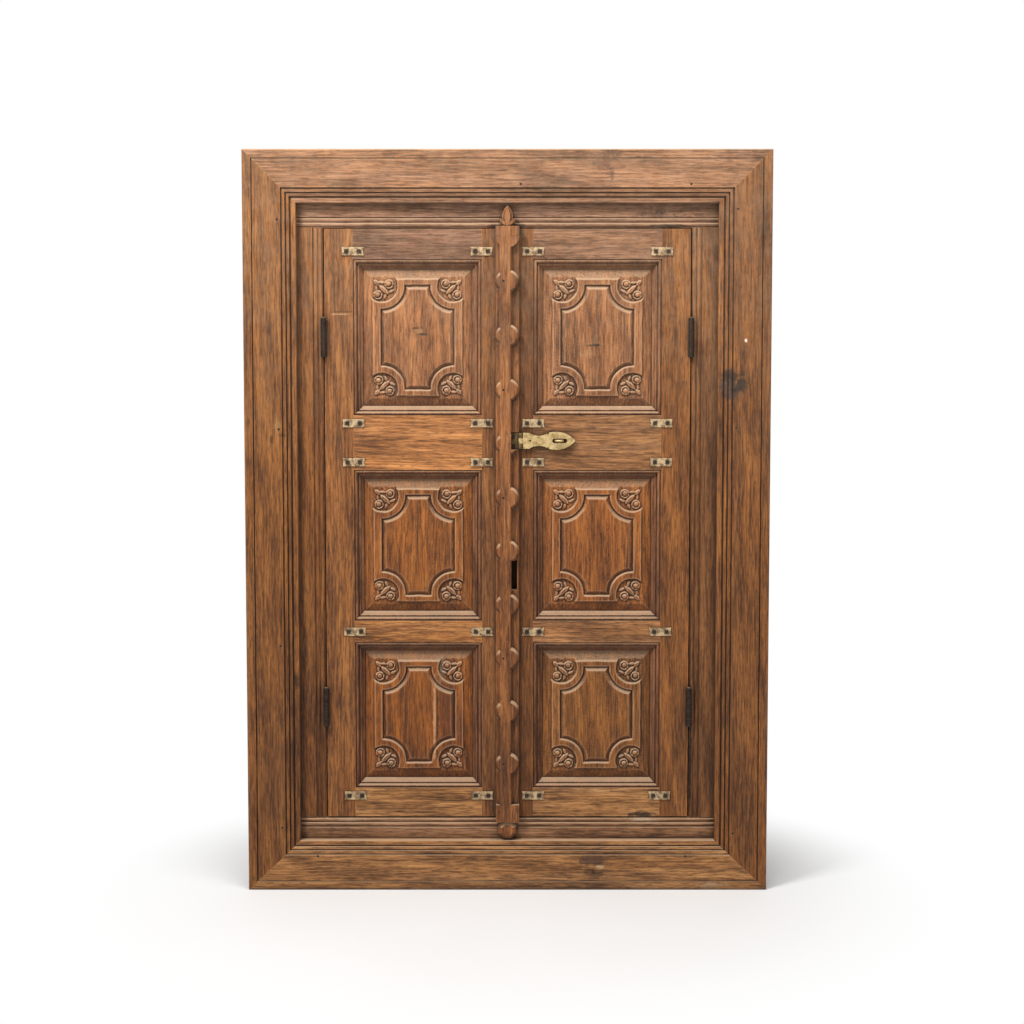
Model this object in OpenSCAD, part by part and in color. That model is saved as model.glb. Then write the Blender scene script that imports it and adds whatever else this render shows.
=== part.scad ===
// Carved double door in its own frame.
// Two framed leaves with carved panels hang on butt hinges in a rebated lining behind a mitred casing.
// X runs to the right, Y to the back and Z up. The origin is the bottom centre, halfway through the depth.

/* [Frame] */
// Overall width across the casing
frame_w = 670; // [630:1:760]
// Overall height of the casing
frame_h = 949; // [915:1:1100]
// Face width of the mitred casing
casing_w = 67; // [64:0.5:76]
// Face width of the casing's bottom board
casing_foot_w = 63.5; // [60:0.5:72]
// Thickness of the casing at its flat
casing_t = 16; // [15:0.5:20]
// Thickness of the casing at its inner edge
casing_lip_t = 10; // [8:0.25:10.5]
// Width of the strip along the casing's outer edge
outer_strip_w = 11; // [9:0.5:14]
// Width of the stepped moulding along the casing's inner edge
casing_mould_w = 19; // [18:0.5:22]
// Width of each jamb that shows beside the leaves
jamb_reveal = 33; // [28:0.5:38]
// Height of the head that shows above the leaves
head_reveal = 30; // [26:0.5:36]
// Height of the sill that shows below the leaves
sill_reveal = 28; // [26:0.5:36]
// Width of the lining hidden behind the casing
lining_lap = 30; // [27:0.5:36]
// Depth of the lining behind the casing
lining_d = 34; // [34:0.5:44]
// How far the stop reaches behind the leaves
stop_lap = 10; // [6:0.5:14]
// Width of each reed along the lining's edge
reed_w = 6; // [5:0.25:7]
// Rise of each reed
reed_h = 1.4; // [1:0.1:2]

/* [Leaves] */
// Thickness of stiles and rails
leaf_t = 24; // [22:0.5:24]
// Width of the stile on the hinge side
hinge_stile_w = 36.5; // [34:0.5:42]
// Width of the stile at the meeting edge
meeting_stile_w = 31; // [29:0.5:36]
// Height of the top rail
top_rail_h = 38.5; // [34:0.5:44]
// Height of the lock rail
lock_rail_h = 70; // [62:0.5:80]
// Height of the lower rail
lower_rail_h = 28; // [26:0.5:34]
// Height of the bottom rail
bottom_rail_h = 37.5; // [34:0.5:44]
// Share of the panels' height that the top panel takes
top_share = 0.34; // [0.33:0.002:0.352]
// Share of the panels' height that the middle panel takes
middle_share = 0.334; // [0.326:0.002:0.346]
// Gap between leaf and jamb
hinge_gap = 1.5; // [1.2:0.1:2]
// Gap between the two leaves at the front
meeting_gap = 4; // [3.6:0.1:5]
// Relief of each meeting edge towards the back
meeting_bevel = 1.2; // [0.8:0.1:2]
// Gap above and below the leaves
end_gap = 1.5; // [1:0.1:2.5]
// How far the leaves stand proud of the lining
face_proud = 0.5; // [0.4:0.1:1]

/* [Panels] */
// Width of the planted moulding round each panel
mould_w = 12; // [11:0.25:13]
// Width of the bevelled margin
bevel_w = 12.5; // [11:0.25:14]
// Distance of the cut line from the raised field's side
line_side = 12; // [11:0.25:13]
// Distance of the cut line from the raised field's top and bottom
line_end = 9.5; // [9:0.25:11]
// Radius of the scooped corners of the cut line
scoop_r = 30.5; // [28:0.25:32]
// Width of the plain band inside the scooped corners
scoop_band = 10.5; // [9:0.25:12]
// Half width of the cut line
line_half_w = 3.2; // [2.4:0.1:3.6]
// Depth of the cut line
line_d = 2.8; // [2.2:0.1:3.2]
// Depth of the sunk ground behind the flowers
ground_d = 2.8; // [2.4:0.1:3]
// Radius of the carved buds
bud_r = 6; // [5.4:0.1:6.2]

/* [Astragal] */
// Width of the astragal
astragal_w = 30; // [28:0.5:33]
// Thickness of the astragal at its bosses
astragal_t = 13; // [12.5:0.1:14]
// Width of the raised strip between the bosses
strip_w = 13.6; // [12:0.1:14]
// Thickness of the ledges between the bosses
ledge_t = 5.4; // [5:0.1:7]
// Number of round bosses
boss_n = 10; // [8:1:10]
// Radius of the knob at the foot
knob_r = 13; // [12:0.25:13.5]

/* [Hardware] */
// Height of each butt hinge
hinge_h = 50; // [44:0.5:56]
// Distance of the upper hinge's middle from the leaf's head
hinge_end = 138; // [110:1:160]
// Distance of the lower hinge's middle from the leaf's foot
hinge_foot = 144; // [110:1:165]
// Radius of the hinge's knuckles
knuckle_r = 3.5; // [3.2:0.05:3.8]
// Radius of the hinge's pin
pin_r = 1.6; // [1.4:0.05:1.8]
// Thickness of the hinge's plates
plate_t = 1.6; // [1.2:0.1:1.8]
// Depth of the hinge's plates behind the leaf's face
plate_d = 17; // [15:0.5:18]
// Length of a brass strap
strap_l = 28.5; // [26:0.5:34]
// Height of a brass strap
strap_h = 10.5; // [9:0.5:13]
// Thickness of a brass strap
strap_t = 1.2; // [1:0.1:1.5]
// Length of the hasp from its pin to the tip
hasp_l = 70.6; // [69:0.2:74]
// Height of the hasp at its hinged end
hasp_h = 20.4; // [19:0.1:21]
// Thickness of the hasp
hasp_t = 2; // [1.6:0.1:2.4]
// Width of the slot in the hasp
slot_w = 5.5; // [5:0.1:6.5]
// Diameter of the staple's wire
staple_wire = 3; // [2.6:0.1:3.4]
// Width of the staple over its legs
staple_w = 12; // [11.4:0.1:12.4]

/* [Hidden] */
$fn = 48;
eps = 0.01;
wood_casing = "#87592f";
wood_lining = "#8a6043";
wood_leaf = "#95643c";
wood_panel = "#9a6a42";
wood_mould = "#8c5c38";
brass = "#c0a473";
iron = "#33281f";

// Depths, front to back.
depth = casing_t + lining_d;
front_y = -depth / 2;
wall_y = front_y + casing_t;
back_y = depth / 2;
face_y = wall_y - face_proud;
stop_gap = 0.5;
stop_y = face_y + leaf_t + stop_gap;

// The opening of the lining.
open_x = frame_w / 2 - casing_w - jamb_reveal;
open_z0 = casing_foot_w + sill_reveal;
open_z1 = frame_h - casing_w - head_reveal;
lining_x = open_x + jamb_reveal + lining_lap;
jamb_w = jamb_reveal + lining_lap;
head_w = head_reveal + lining_lap;
sill_w = sill_reveal + lining_lap;
foot_share = casing_foot_w / casing_w;
jamb_tenon_l = 24;
jamb_tenon_t = 10;

// One leaf, measured from its hinge edge and from its foot.
leaf_w = open_x - hinge_gap - meeting_gap / 2;
leaf_z0 = open_z0 + end_gap;
leaf_z1 = open_z1 - end_gap;
panel_x0 = hinge_stile_w;
panel_x1 = leaf_w - meeting_stile_w;
panel_w = panel_x1 - panel_x0;
panel_xm = (panel_x0 + panel_x1) / 2;
rail_h = [top_rail_h, lock_rail_h, lower_rail_h, bottom_rail_h];
all_open_h = leaf_z1 - leaf_z0 - top_rail_h - lock_rail_h - lower_rail_h - bottom_rail_h;
open_h = all_open_h * [top_share, middle_share, 1 - top_share - middle_share];
rail_z1 = [for (i = [0:3]) leaf_z1 - sum_to(rail_h, i) - sum_to(open_h, i)];
rail_z0 = [for (i = [0:3]) rail_z1[i] - rail_h[i]];
groove_y = 10;
groove_w = 7;
groove_in = 7;
tongue_in = 6;
seat = 0.15;
tenon_l = 22;
tenon_in = 8;
mitre_gap = 0.1;

// Heights inside a panel, below the leaf's face.
margin_h = -groove_y;
bevel_top_h = -6;
field_h = -4;
ground_h = field_h - ground_d;

// Butt hinges.
axis_x = open_x - hinge_gap / 2;
axis_y = face_y - knuckle_r - 0.7;
hinge_z = [leaf_z0 + hinge_foot, leaf_z1 - hinge_end];
knuckle_n = 5;
knuckle_h = hinge_h / knuckle_n;
knuckle_gap = 0.3;
pin_fit = 0.05;
screw_r = 1.7;
screw_fit = 0.05;

// Nails.
nail_r = 1.6;
nail_fit = 0.05;
casing_nail_in = 44;
left_nail_z = [0.907, 0.628, 0.335, 0.086];
right_nail_z = [0.921, 0.630, 0.078];
top_nail_x = [0.025, 0.346];
bottom_nail_x = [-0.366, 0.343];
strap_nail_r = 1;
strap_nail_head = 4.8;
strap_nail_x = 8;
strap_edge = 10;

// Astragal, on the left leaf.
lap_gap = 0.4;
astragal_z0 = casing_foot_w + 1.4;
astragal_z1 = frame_h - casing_w - 1.6;
finial_h = 26.4;
cap_z1 = astragal_z1 - finial_h - 1;
cap_h = 27;
cap_z0 = cap_z1 - cap_h;
knob_in = knob_r * cos(22.5);
base_z0 = astragal_z0 + 2 * knob_in - 1;
base_h = 23;
base_z1 = base_z0 + base_h;
rib_x = -2.6;
hasp_up = 2.5;
hasp_z = rail_z0[1] + lock_rail_h / 2 + hasp_up;
hasp_boss = 3;
hasp_boss_drop = 4;
boss_r = astragal_w / 2;
boss_pitch = (leaf_z1 - leaf_z0) / (boss_n + 1);
boss_z1 = hasp_z - hasp_boss_drop + hasp_boss * boss_pitch;
boss_z0 = boss_z1 - (boss_n - 1) * boss_pitch;
astragal_nail_x = -5.2;
astragal_nail_in = 14;
astragal_nail_at = [0, 2, 4, 7];
slot_z = boss_z1 - 5.45 * boss_pitch;

// Hasp, its eye and its staple.
hasp_x = astragal_w / 2 + 1.3;
hasp_y = face_y - 4;
hasp_knuckle_r = 3.3;
hasp_pin_r = 1.2;
hasp_knuckle_h = hasp_h / 3;
hasp_knuckle_gap = 0.25;
notch_x = 4.5;
notch_h = hasp_h + 1.6;
notch_t = 3;
eye_t = 1.6;
slot_l = 19;
slot_at = hasp_l - 20;
staple_x = hasp_x + slot_at - 0.9;
staple_r = staple_wire / 2;
staple_bend = staple_w / 2 - staple_r;
staple_out = 14.5;
staple_in = 13;

function sum_to(list, n) = n == 0 ? 0 : list[n - 1] + sum_to(list, n - 1);

// Extrusion along X of a shape drawn in Y and Z.
module along_x(x0, x1) {
    translate([x0, 0, 0])
        rotate([90, 0, 90])
            linear_extrude(x1 - x0)
                children();
}

// Extrusion along Z of a shape drawn in X and Y.
module along_z(z0, z1) {
    translate([0, 0, z0])
        linear_extrude(z1 - z0)
            children();
}

// A carver's frame: X across, Y up the door and Z towards the viewer from the plane y.
module facing(y) {
    translate([0, y, 0])
        rotate([90, 0, 0])
            children();
}

// A leaf's own frame, with X measured from the hinge edge. Side -1 is left and 1 is right.
module on_leaf(side) {
    translate([side * (open_x - hinge_gap), 0, 0])
        mirror([side > 0 ? 1 : 0, 0, 0])
            children();
}

// A round bar along Y from y0 to y1.
module bar_y(x, z, r, y0, y1) {
    translate([x, y1, z])
        rotate([90, 0, 0])
            cylinder(r = r, h = y1 - y0);
}

// A round bar along X from x0 to x1.
module bar_x(y, z, r, x0, x1) {
    translate([x0, y, z])
        rotate([0, 90, 0])
            cylinder(r = r, h = x1 - x0);
}

// A flat round of width w and rise h, with a root below it.
module round_2d(w, h) {
    r = (pow(w + 0.3, 2) / 4 + h * h) / (2 * h);
    intersection() {
        translate([0, h - r])
            circle(r, $fn = 96);
        translate([-w / 2, -0.8])
            square([w, h + 2]);
    }
}

// A leaf shape of length l and width w lying along X.
module leaf_2d(l, w) {
    r = (l * l + w * w) / (4 * w);
    intersection() {
        translate([0, r - w / 2])
            circle(r, $fn = 64);
        translate([0, w / 2 - r])
            circle(r, $fn = 64);
    }
}

// Section of the casing, from its outer edge inwards and from its back forwards. Its width is times k.
module casing_2d(k = 1) {
    m = casing_w - casing_mould_w;
    t = casing_t;
    edge = [
        [0, 0], [0, t - 1.2], [1.2, t], [outer_strip_w, t], [outer_strip_w + 0.9, t - 1.8],
        [outer_strip_w + 1.8, t], [m, t], [m + 0.4, t - 2.8], [m + 1.4, t - 2.8], [m + 1.9, t - 1.6],
        [m + 5.4, t - 1.9], [m + 5.8, t - 4.8], [m + 6.9, t - 4.8], [m + 7.4, t - 3.4], [m + 10.5, t - 3.8],
        [m + 11, t - 7], [m + 12.4, t - 7], [m + 13, t - 5.2], [casing_w - 0.8, casing_lip_t + 0.6],
        [casing_w, casing_lip_t - 0.4], [casing_w, 0]
    ];
    polygon([for (e = edge) [e[0] * k, e[1]]]);
}

// Section of the lining, outwards from the opening and from the back forwards, without its stop.
module lining_2d(w) {
    polygon([
        [0, 0], [0, lining_d - reed_h], [2 * reed_w + 0.8, lining_d - reed_h],
        [2 * reed_w + 1.4, lining_d], [w, lining_d], [w, 0]
    ]);
    for (i = [0, 1])
        translate([(i + 0.5) * reed_w + 0.4, lining_d - reed_h])
            round_2d(reed_w - 0.8, reed_h);
}

// Places a section drawn as distance and height so that the distance runs along Z from z0.
module run_x(x0, x1, y0, z0, up) {
    along_x(x0, x1)
        translate([y0, z0])
            mirror([0, up > 0 ? 0 : 1, 0])
                rotate(90)
                    children();
}

// Places a section drawn as distance and height so that the distance runs along X from x0.
module run_z(z0, z1, y0, x0, right) {
    along_z(z0, z1)
        translate([x0, y0])
            mirror([right > 0 ? 0 : 1, 0, 0])
                mirror([0, 1, 0])
                    children();
}

// The casing nails, all round, r being the radius of the nail or of its hole.
module casing_nail_bars(r) {
    y1 = wall_y + 22;
    for (f = left_nail_z)
        bar_y(casing_nail_in - frame_w / 2, f * frame_h, r, front_y - eps, y1);
    for (f = right_nail_z)
        bar_y(frame_w / 2 - casing_nail_in, f * frame_h, r, front_y - eps, y1);
    for (f = top_nail_x)
        bar_y(f * frame_w, frame_h - casing_nail_in, r, front_y - eps, y1);
    for (f = bottom_nail_x)
        bar_y(f * frame_w, casing_nail_in, r, front_y - eps, y1);
}

// Wedge that mitres a board of the frame lying along X, with its outer edge at z.
module mitre_x(z, up) {
    m = frame_w / 2 + 20;
    k = up > 0 ? 1 : foot_share;
    facing(back_y + 1)
        linear_extrude(depth + 4)
            polygon([[-m, z + up * k * 20], [m, z + up * k * 20], [0, z - up * k * frame_w / 2]]);
}

// Wedge that mitres a board of the frame lying along Z on one side.
module mitre_z(side) {
    x = side * frame_w / 2;
    facing(back_y + 1)
        linear_extrude(depth + 4)
            polygon([
                [x + side * 20, -20 * foot_share], [x + side * 20, frame_h + 20],
                [x - side * frame_w * 0.4, frame_h - frame_w * 0.4],
                [x - side * frame_w * 0.4, frame_w * 0.4 * foot_share]
            ]);
}

module casing_across(up) {
    z = up > 0 ? frame_h : 0;
    color(wood_casing)
        difference() {
            intersection() {
                run_x(-frame_w / 2, frame_w / 2, wall_y, z, -up)
                    casing_2d(up > 0 ? 1 : foot_share);
                mitre_x(z, up);
            }
            casing_nail_bars(nail_r + nail_fit);
        }
}

module casing_upright(side) {
    color(wood_casing)
        difference() {
            intersection() {
                run_z(0, frame_h, wall_y, side * frame_w / 2, -side)
                    casing_2d();
                mitre_z(side);
            }
            casing_nail_bars(nail_r + nail_fit);
        }
}

// Tenon of a jamb in the head or sill, grown by g for its mortise.
module jamb_tenon(side, up, g) {
    z = up > 0 ? open_z1 : open_z0;
    l = jamb_tenon_l + g;
    translate([
        side * (open_x + jamb_w / 2) - jamb_w / 4 - g, (wall_y + back_y) / 2 - jamb_tenon_t / 2 - g,
        up > 0 ? z - 5 : z - l
    ])
        cube([jamb_w / 2 + 2 * g, jamb_tenon_t + 2 * g, l + 5]);
}

module lining_across(up) {
    z = up > 0 ? open_z1 : open_z0;
    color(wood_lining)
        difference() {
            union() {
                run_x(-lining_x, lining_x, back_y, z, up)
                    lining_2d(up > 0 ? head_w : sill_w);
                translate([stop_lap - open_x, stop_y, up > 0 ? z - stop_lap : z - 2])
                    cube([2 * (open_x - stop_lap), back_y - stop_y, stop_lap + 2]);
            }
            for (side = [-1, 1])
                jamb_tenon(side, up, seat);
            casing_nail_bars(nail_r + nail_fit);
        }
}

module jamb(side) {
    color(wood_lining)
        difference() {
            union() {
                run_z(open_z0, open_z1, back_y, side * open_x, side)
                    lining_2d(jamb_w);
                translate([side > 0 ? open_x - stop_lap : -open_x - 2, stop_y, open_z0])
                    cube([stop_lap + 2, back_y - stop_y, open_z1 - open_z0]);
                for (up = [-1, 1])
                    jamb_tenon(side, up, 0);
            }
            for (z = hinge_z) {
                translate([side > 0 ? open_x - eps : -open_x - plate_t, wall_y - 1, z - hinge_h / 2])
                    cube([plate_t + eps, face_y + plate_d - wall_y + 1, hinge_h]);
                hinge_screw_bars(side, z, screw_r + screw_fit, 0, 1);
            }
            casing_nail_bars(nail_r + nail_fit);
        }
}

module casing_nails() {
    color(iron)
        intersection() {
            casing_nail_bars(nail_r);
            translate([-frame_w / 2, front_y, 0])
                cube([frame_w, depth, frame_h]);
        }
}

// Screws of one hinge plate, into the jamb (out 1) or into the leaf (out -1), kept g short of the bottom.
module hinge_screw_bars(side, z, r, g, out) {
    x0 = out > 0 ? open_x : open_x - hinge_gap;
    for (dz = [-0.32, 0.32])
        for (dy = [0.45, 0.78])
            if ((dz < 0) == (dy > 0.5))
                mirror([side > 0 ? 0 : 1, 0, 0])
                    bar_x(face_y + dy * plate_d, z + dz * hinge_h, r, out > 0 ? x0 : x0 - 16 + g,
                        out > 0 ? x0 + 16 - g : x0);
}

// Height of the foot of knuckle i of the hinge at z.
function knuckle_z(z, i) = z - hinge_h / 2 + i * knuckle_h;

// One half of a butt hinge. Part 0 is the jamb's, with the odd knuckles out, and part 1 is the leaf's.
module hinge_half(side, z, part) {
    x0 = part == 0 ? open_x : open_x - hinge_gap - plate_t;
    out = part == 0 ? 1 : -1;
    mirror([side > 0 ? 0 : 1, 0, 0])
        color(iron)
            difference() {
                union() {
                    difference() {
                        translate([x0, axis_y, z - hinge_h / 2])
                            cube([plate_t, face_y + plate_d - axis_y, hinge_h]);
                        for (i = [1 - part:2:knuckle_n - 1])
                            translate([axis_x, axis_y, knuckle_z(z, i) - (i == 0 ? 1 : 0)])
                                cylinder(r = knuckle_r + 0.4, h = knuckle_h + (i == 0 || i == 4 ? 1 : 0));
                    }
                    for (i = [part:2:knuckle_n - 1])
                        translate([axis_x, axis_y, knuckle_z(z, i) + knuckle_gap / 2])
                            cylinder(r = knuckle_r, h = knuckle_h - knuckle_gap);
                }
                translate([axis_x, axis_y, z - hinge_h])
                    cylinder(r = pin_r + (part == 0 ? 0.01 : pin_fit), h = 2 * hinge_h);
                hinge_screw_bars(1, z, screw_r + screw_fit, 0, out);
            }
}

module hinge_pin(side, z) {
    color(iron)
        translate([side * axis_x, axis_y, z - hinge_h / 2 - 0.6]) {
            cylinder(r = pin_r, h = hinge_h + 1);
            translate([0, 0, hinge_h + 0.8])
                cylinder(r1 = knuckle_r - 0.4, r2 = knuckle_r - 1.4, h = 1);
        }
}

module jamb_screws() {
    color(iron)
        for (side = [-1, 1])
            for (z = hinge_z)
                hinge_screw_bars(side, z, screw_r, 0.4, 1);
}

module leaf_screws(side) {
    color(iron)
        for (z = hinge_z)
            hinge_screw_bars(side, z, screw_r, 0.4, -1);
}

// Places of the straps on a leaf: their height, for rail i and the panel it borders.
strap_z = [
    rail_z0[0] + strap_edge, rail_z1[1] - strap_edge, rail_z0[1] + strap_edge,
    (rail_z0[2] + rail_z1[2]) / 2, rail_z1[3] - strap_edge
];

module strap_nail_bars(r, y0, y1) {
    for (x = [panel_x0, panel_x1])
        for (z = strap_z)
            for (dx = [-strap_nail_x, strap_nail_x])
                bar_y(x + dx, z, r, y0, y1);
}

// Section of a stile with its groove, from x0 to x1, the groove on the panel's side.
module stile_2d(x0, x1, groove_x, bevel) {
    difference() {
        polygon([
            [x0, face_y], [x1, face_y], [x1 - bevel, face_y + leaf_t], [x0, face_y + leaf_t]
        ]);
        translate([groove_x - groove_in, face_y + groove_y])
            square([2 * groove_in, groove_w]);
    }
}

// Tenon of rail i at one stile, grown by g for its mortise.
module rail_tenon(i, x, dir, g) {
    l = tenon_l + g;
    translate([
        dir > 0 ? x - 3 : x - l, face_y + groove_y + seat - g, rail_z0[i] + tenon_in - g
    ])
        cube([l + 3, groove_w - 2 * seat + 2 * g, rail_h[i] - 2 * tenon_in + 2 * g]);
}

module hinge_stile(side) {
    color(wood_leaf)
        difference() {
            on_leaf(side)
                difference() {
                    along_z(leaf_z0, leaf_z1)
                        stile_2d(0, panel_x0, panel_x0, 0);
                    for (i = [0:3])
                        rail_tenon(i, panel_x0, -1, seat);
                    for (z = hinge_z)
                        translate([-1, face_y - 1, z - hinge_h / 2])
                            cube([plate_t + 1, plate_d + 1, hinge_h]);
                    strap_nail_bars(strap_nail_r + nail_fit, face_y - 1, face_y + 9);
                }
            for (z = hinge_z)
                hinge_screw_bars(side, z, screw_r + screw_fit, 0, -1);
        }
}

module meeting_stile(side) {
    color(wood_leaf)
        difference() {
            on_leaf(side)
                difference() {
                    along_z(leaf_z0, leaf_z1)
                        stile_2d(panel_x1, leaf_w, panel_x1, meeting_bevel);
                    for (i = [0:3])
                        rail_tenon(i, panel_x1, 1, seat);
                    strap_nail_bars(strap_nail_r + nail_fit, face_y - 1, face_y + 9);
                }
            if (side < 0)
                astragal_nail_bars(nail_r + nail_fit, 0);
            if (side > 0)
                translate([4, face_y - 1, slot_z - 19])
                    cube([8, 13, 38]);
        }
}

module rail(side, i) {
    color(wood_leaf)
        difference() {
            on_leaf(side)
                difference() {
                    union() {
                        translate([panel_x0, face_y, rail_z0[i]])
                            cube([panel_w, leaf_t, rail_h[i]]);
                        rail_tenon(i, panel_x0, -1, 0);
                        rail_tenon(i, panel_x1, 1, 0);
                    }
                    if (i > 0)
                        translate([panel_x0 - 1, face_y + groove_y, rail_z1[i] - groove_in])
                            cube([panel_w + 2, groove_w, groove_in + 1]);
                    if (i < 3)
                        translate([panel_x0 - 1, face_y + groove_y, rail_z0[i] - 1])
                            cube([panel_w + 2, groove_w, groove_in + 1]);
                    strap_nail_bars(strap_nail_r + nail_fit, face_y - 1, face_y + 9);
                }
            if (side > 0 && i == 1)
                staple_legs(staple_r + nail_fit, 0.4);
        }
}

// A carved bud: a ring round a raised eye.
module bud() {
    rotate_extrude($fn = 24)
        polygon([
            [0, -0.6], [bud_r, -0.6], [bud_r, 1.3], [bud_r - 0.9, 2.3], [bud_r - 2.1, 2.3],
            [bud_r - 3, 1.1], [bud_r - 3.4, 2], [bud_r - 4.6, 2.9], [0, 3.1]
        ]);
}

// A carved leaf of length l and width w at x, y, turned by a.
module carved_leaf(x, y, l, w, a, h) {
    translate([x, y, -0.6])
        rotate(a)
            linear_extrude(h + 0.6)
                leaf_2d(l, w);
}

// The flowers in one corner, measured from the raised field's corner inwards.
module sprig() {
    translate([7.2, 20.5, 0])
        bud();
    translate([21.5, 6.8, 0])
        bud();
    carved_leaf(14.8, 13.9, 17.5, 6.6, 43, 2.4);
    carved_leaf(5.2, 4.9, 9.5, 5.6, 45, 2);
    carved_leaf(5.4, 11.4, 9, 3.4, 88, 1.7);
    carved_leaf(11.6, 4.6, 9, 3.4, 4, 1.7);
    carved_leaf(16.4, 22.2, 8.4, 3.8, 112, 1.8);
    carved_leaf(24.6, 15.6, 8.4, 3.8, -26, 1.8);
}

// Straight part of the cut line, centred, of length l along X.
module cut_straight(l) {
    w = line_half_w * 1.5;
    translate([-l / 2, 0, 0])
        rotate([90, 0, 90])
            linear_extrude(l)
                polygon([[-w, line_d * 0.5], [w, line_d * 0.5], [0, -line_d]]);
}

// Scooped part of the cut line, a quarter turn.
module cut_scoop() {
    rotate_extrude(angle = 90, $fn = 64)
        translate([scoop_r, 0])
            polygon([[-line_half_w * 1.5, line_d * 0.5], [line_half_w * 1.5, line_d * 0.5], [0, -line_d]]);
}

// A raised body with four sloping sides, of half sizes x0, y0 at height h0 and x1, y1 at height h1.
module fielded(x0, y0, h0, x1, y1, h1) {
    intersection() {
        rotate([90, 0, 0])
            translate([0, 0, -y0 - 1])
                linear_extrude(2 * y0 + 2)
                    polygon([
                        [-x0, h0 - 1], [x0, h0 - 1], [x0, h0], [x1, h1], [-x1, h1], [-x0, h0]
                    ]);
        rotate([90, 0, 90])
            translate([0, 0, -x0 - 1])
                linear_extrude(2 * x0 + 2)
                    polygon([
                        [-y0, h0 - 1], [y0, h0 - 1], [y0, h0], [y1, h1], [-y1, h1], [-y0, h0]
                    ]);
    }
}

// A carved panel for an opening of height oh, centred on it.
module panel_body(oh) {
    sx = panel_w / 2 - mould_w;
    sy = oh / 2 - mould_w;
    px = sx - bevel_w;
    py = sy - bevel_w;
    gx = px - line_side;
    gy = py - line_end;
    difference() {
        union() {
            translate([-panel_w / 2 - tongue_in, -oh / 2 - tongue_in, margin_h - groove_w + seat])
                cube([panel_w + 2 * tongue_in, oh + 2 * tongue_in, groove_w - 2 * seat]);
            fielded(sx, sy, margin_h, px, py, bevel_top_h);
            translate([-px, -py, bevel_top_h - 1])
                cube([2 * px, 2 * py, field_h - bevel_top_h + 1]);
        }
        translate([0, 0, field_h]) {
            for (s = [-1, 1]) {
                translate([0, s * gy, 0])
                    cut_straight(2 * (gx - scoop_r) + 0.8);
                translate([s * gx, 0, 0])
                    rotate(90)
                        cut_straight(2 * (gy - scoop_r) + 0.8);
            }
            for (a = [0, 1])
                for (b = [0, 1])
                    mirror([a, 0, 0])
                        mirror([0, b, 0])
                            translate([-gx, -gy, 0]) {
                                cut_scoop();
                                translate([0, 0, -ground_d])
                                    cylinder(r = scoop_r - scoop_band, h = 10);
                            }
        }
    }
    for (a = [0, 1])
        for (b = [0, 1])
            mirror([a, 0, 0])
                mirror([0, b, 0])
                    translate([-px, -py, ground_h])
                        sprig();
}

module panel(side, i) {
    color(wood_panel)
        on_leaf(side)
            facing(face_y)
                translate([panel_xm, (rail_z0[i] + rail_z1[i + 1]) / 2, 0])
                    panel_body(open_h[i]);
}

// Section of the planted moulding, inwards from the opening's edge, heights below the leaf's face.
module mould_2d() {
    b = margin_h + seat;
    polygon([
        [0, b], [0, -1.6], [1, -1.6], [4.6, -2.6], [5, -4.4], [mould_w - 3.4, -5.4],
        [mould_w - 3, -6.6], [mould_w, -8.6], [mould_w, b]
    ]);
    translate([2.7, -2.2])
        circle(1.7);
    translate([mould_w - 5.2, -5.2])
        circle(1.5);
}

// One mitred length along X for an opening of w by h, on its upper side.
module mould_length(w, h) {
    intersection() {
        translate([-w / 2, h / 2, 0])
            rotate([90, 0, 90])
                linear_extrude(w)
                    mirror([1, 0, 0])
                        mould_2d();
        translate([0, mitre_gap, margin_h - 2])
            linear_extrude(20)
                polygon([[-w / 2 - 20, h / 2 + 20], [w / 2 + 20, h / 2 + 20], [0, h / 2 - w / 2]]);
    }
}

module moulding(side, i) {
    color(wood_mould)
        on_leaf(side)
            facing(face_y)
                translate([panel_xm, (rail_z0[i] + rail_z1[i + 1]) / 2, 0])
                    for (a = [0, 1]) {
                        mirror([0, a, 0])
                            mould_length(panel_w, open_h[i]);
                        rotate(90 + 180 * a)
                            mould_length(open_h[i], panel_w);
                    }
}

module straps(side) {
    color(brass)
        on_leaf(side)
            difference() {
                for (x = [panel_x0, panel_x1])
                    for (z = strap_z)
                        facing(face_y)
                            translate([x, z, 0])
                                linear_extrude(strap_t)
                                    difference() {
                                        square([strap_l, strap_h], center = true);
                                        for (s = [-1, 1])
                                            translate([s * (strap_l / 2 + 17.2), 0])
                                                circle(18);
                                    }
                strap_nail_bars(strap_nail_r + nail_fit, face_y - 5, face_y + 5);
            }
}

module strap_nails(side) {
    color(iron)
        on_leaf(side) {
            strap_nail_bars(strap_nail_r, face_y - strap_t - 0.4, face_y + 8.6);
            for (x = [panel_x0, panel_x1])
                for (z = strap_z)
                    for (dx = [-strap_nail_x, strap_nail_x])
                        translate([x + dx - strap_nail_head / 2, face_y - strap_t - 1, z - strap_nail_head / 2])
                            cube([strap_nail_head, 1, strap_nail_head]);
        }
}

// The nails of the astragal, driven through its bosses.
module astragal_nail_bars(r, g) {
    y0 = face_y - astragal_t + g;
    y1 = face_y + astragal_nail_in - g;
    for (i = concat(astragal_nail_at, [boss_n - 1]))
        bar_y(astragal_nail_x, boss_z1 - i * boss_pitch, r, y0, y1);
}

module astragal_nails() {
    color(iron)
        astragal_nail_bars(nail_r, 0.3);
}

// One leaf of the finial: a low body and a raised middle, turned by a about its root.
module finial_leaf(x, y, a, l, w, low, high) {
    translate([x, y, 0])
        rotate(90 - a) {
            linear_extrude(low)
                leaf_2d(l, w);
            linear_extrude(high)
                leaf_2d(l * 0.8, w * 0.5);
        }
}

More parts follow.
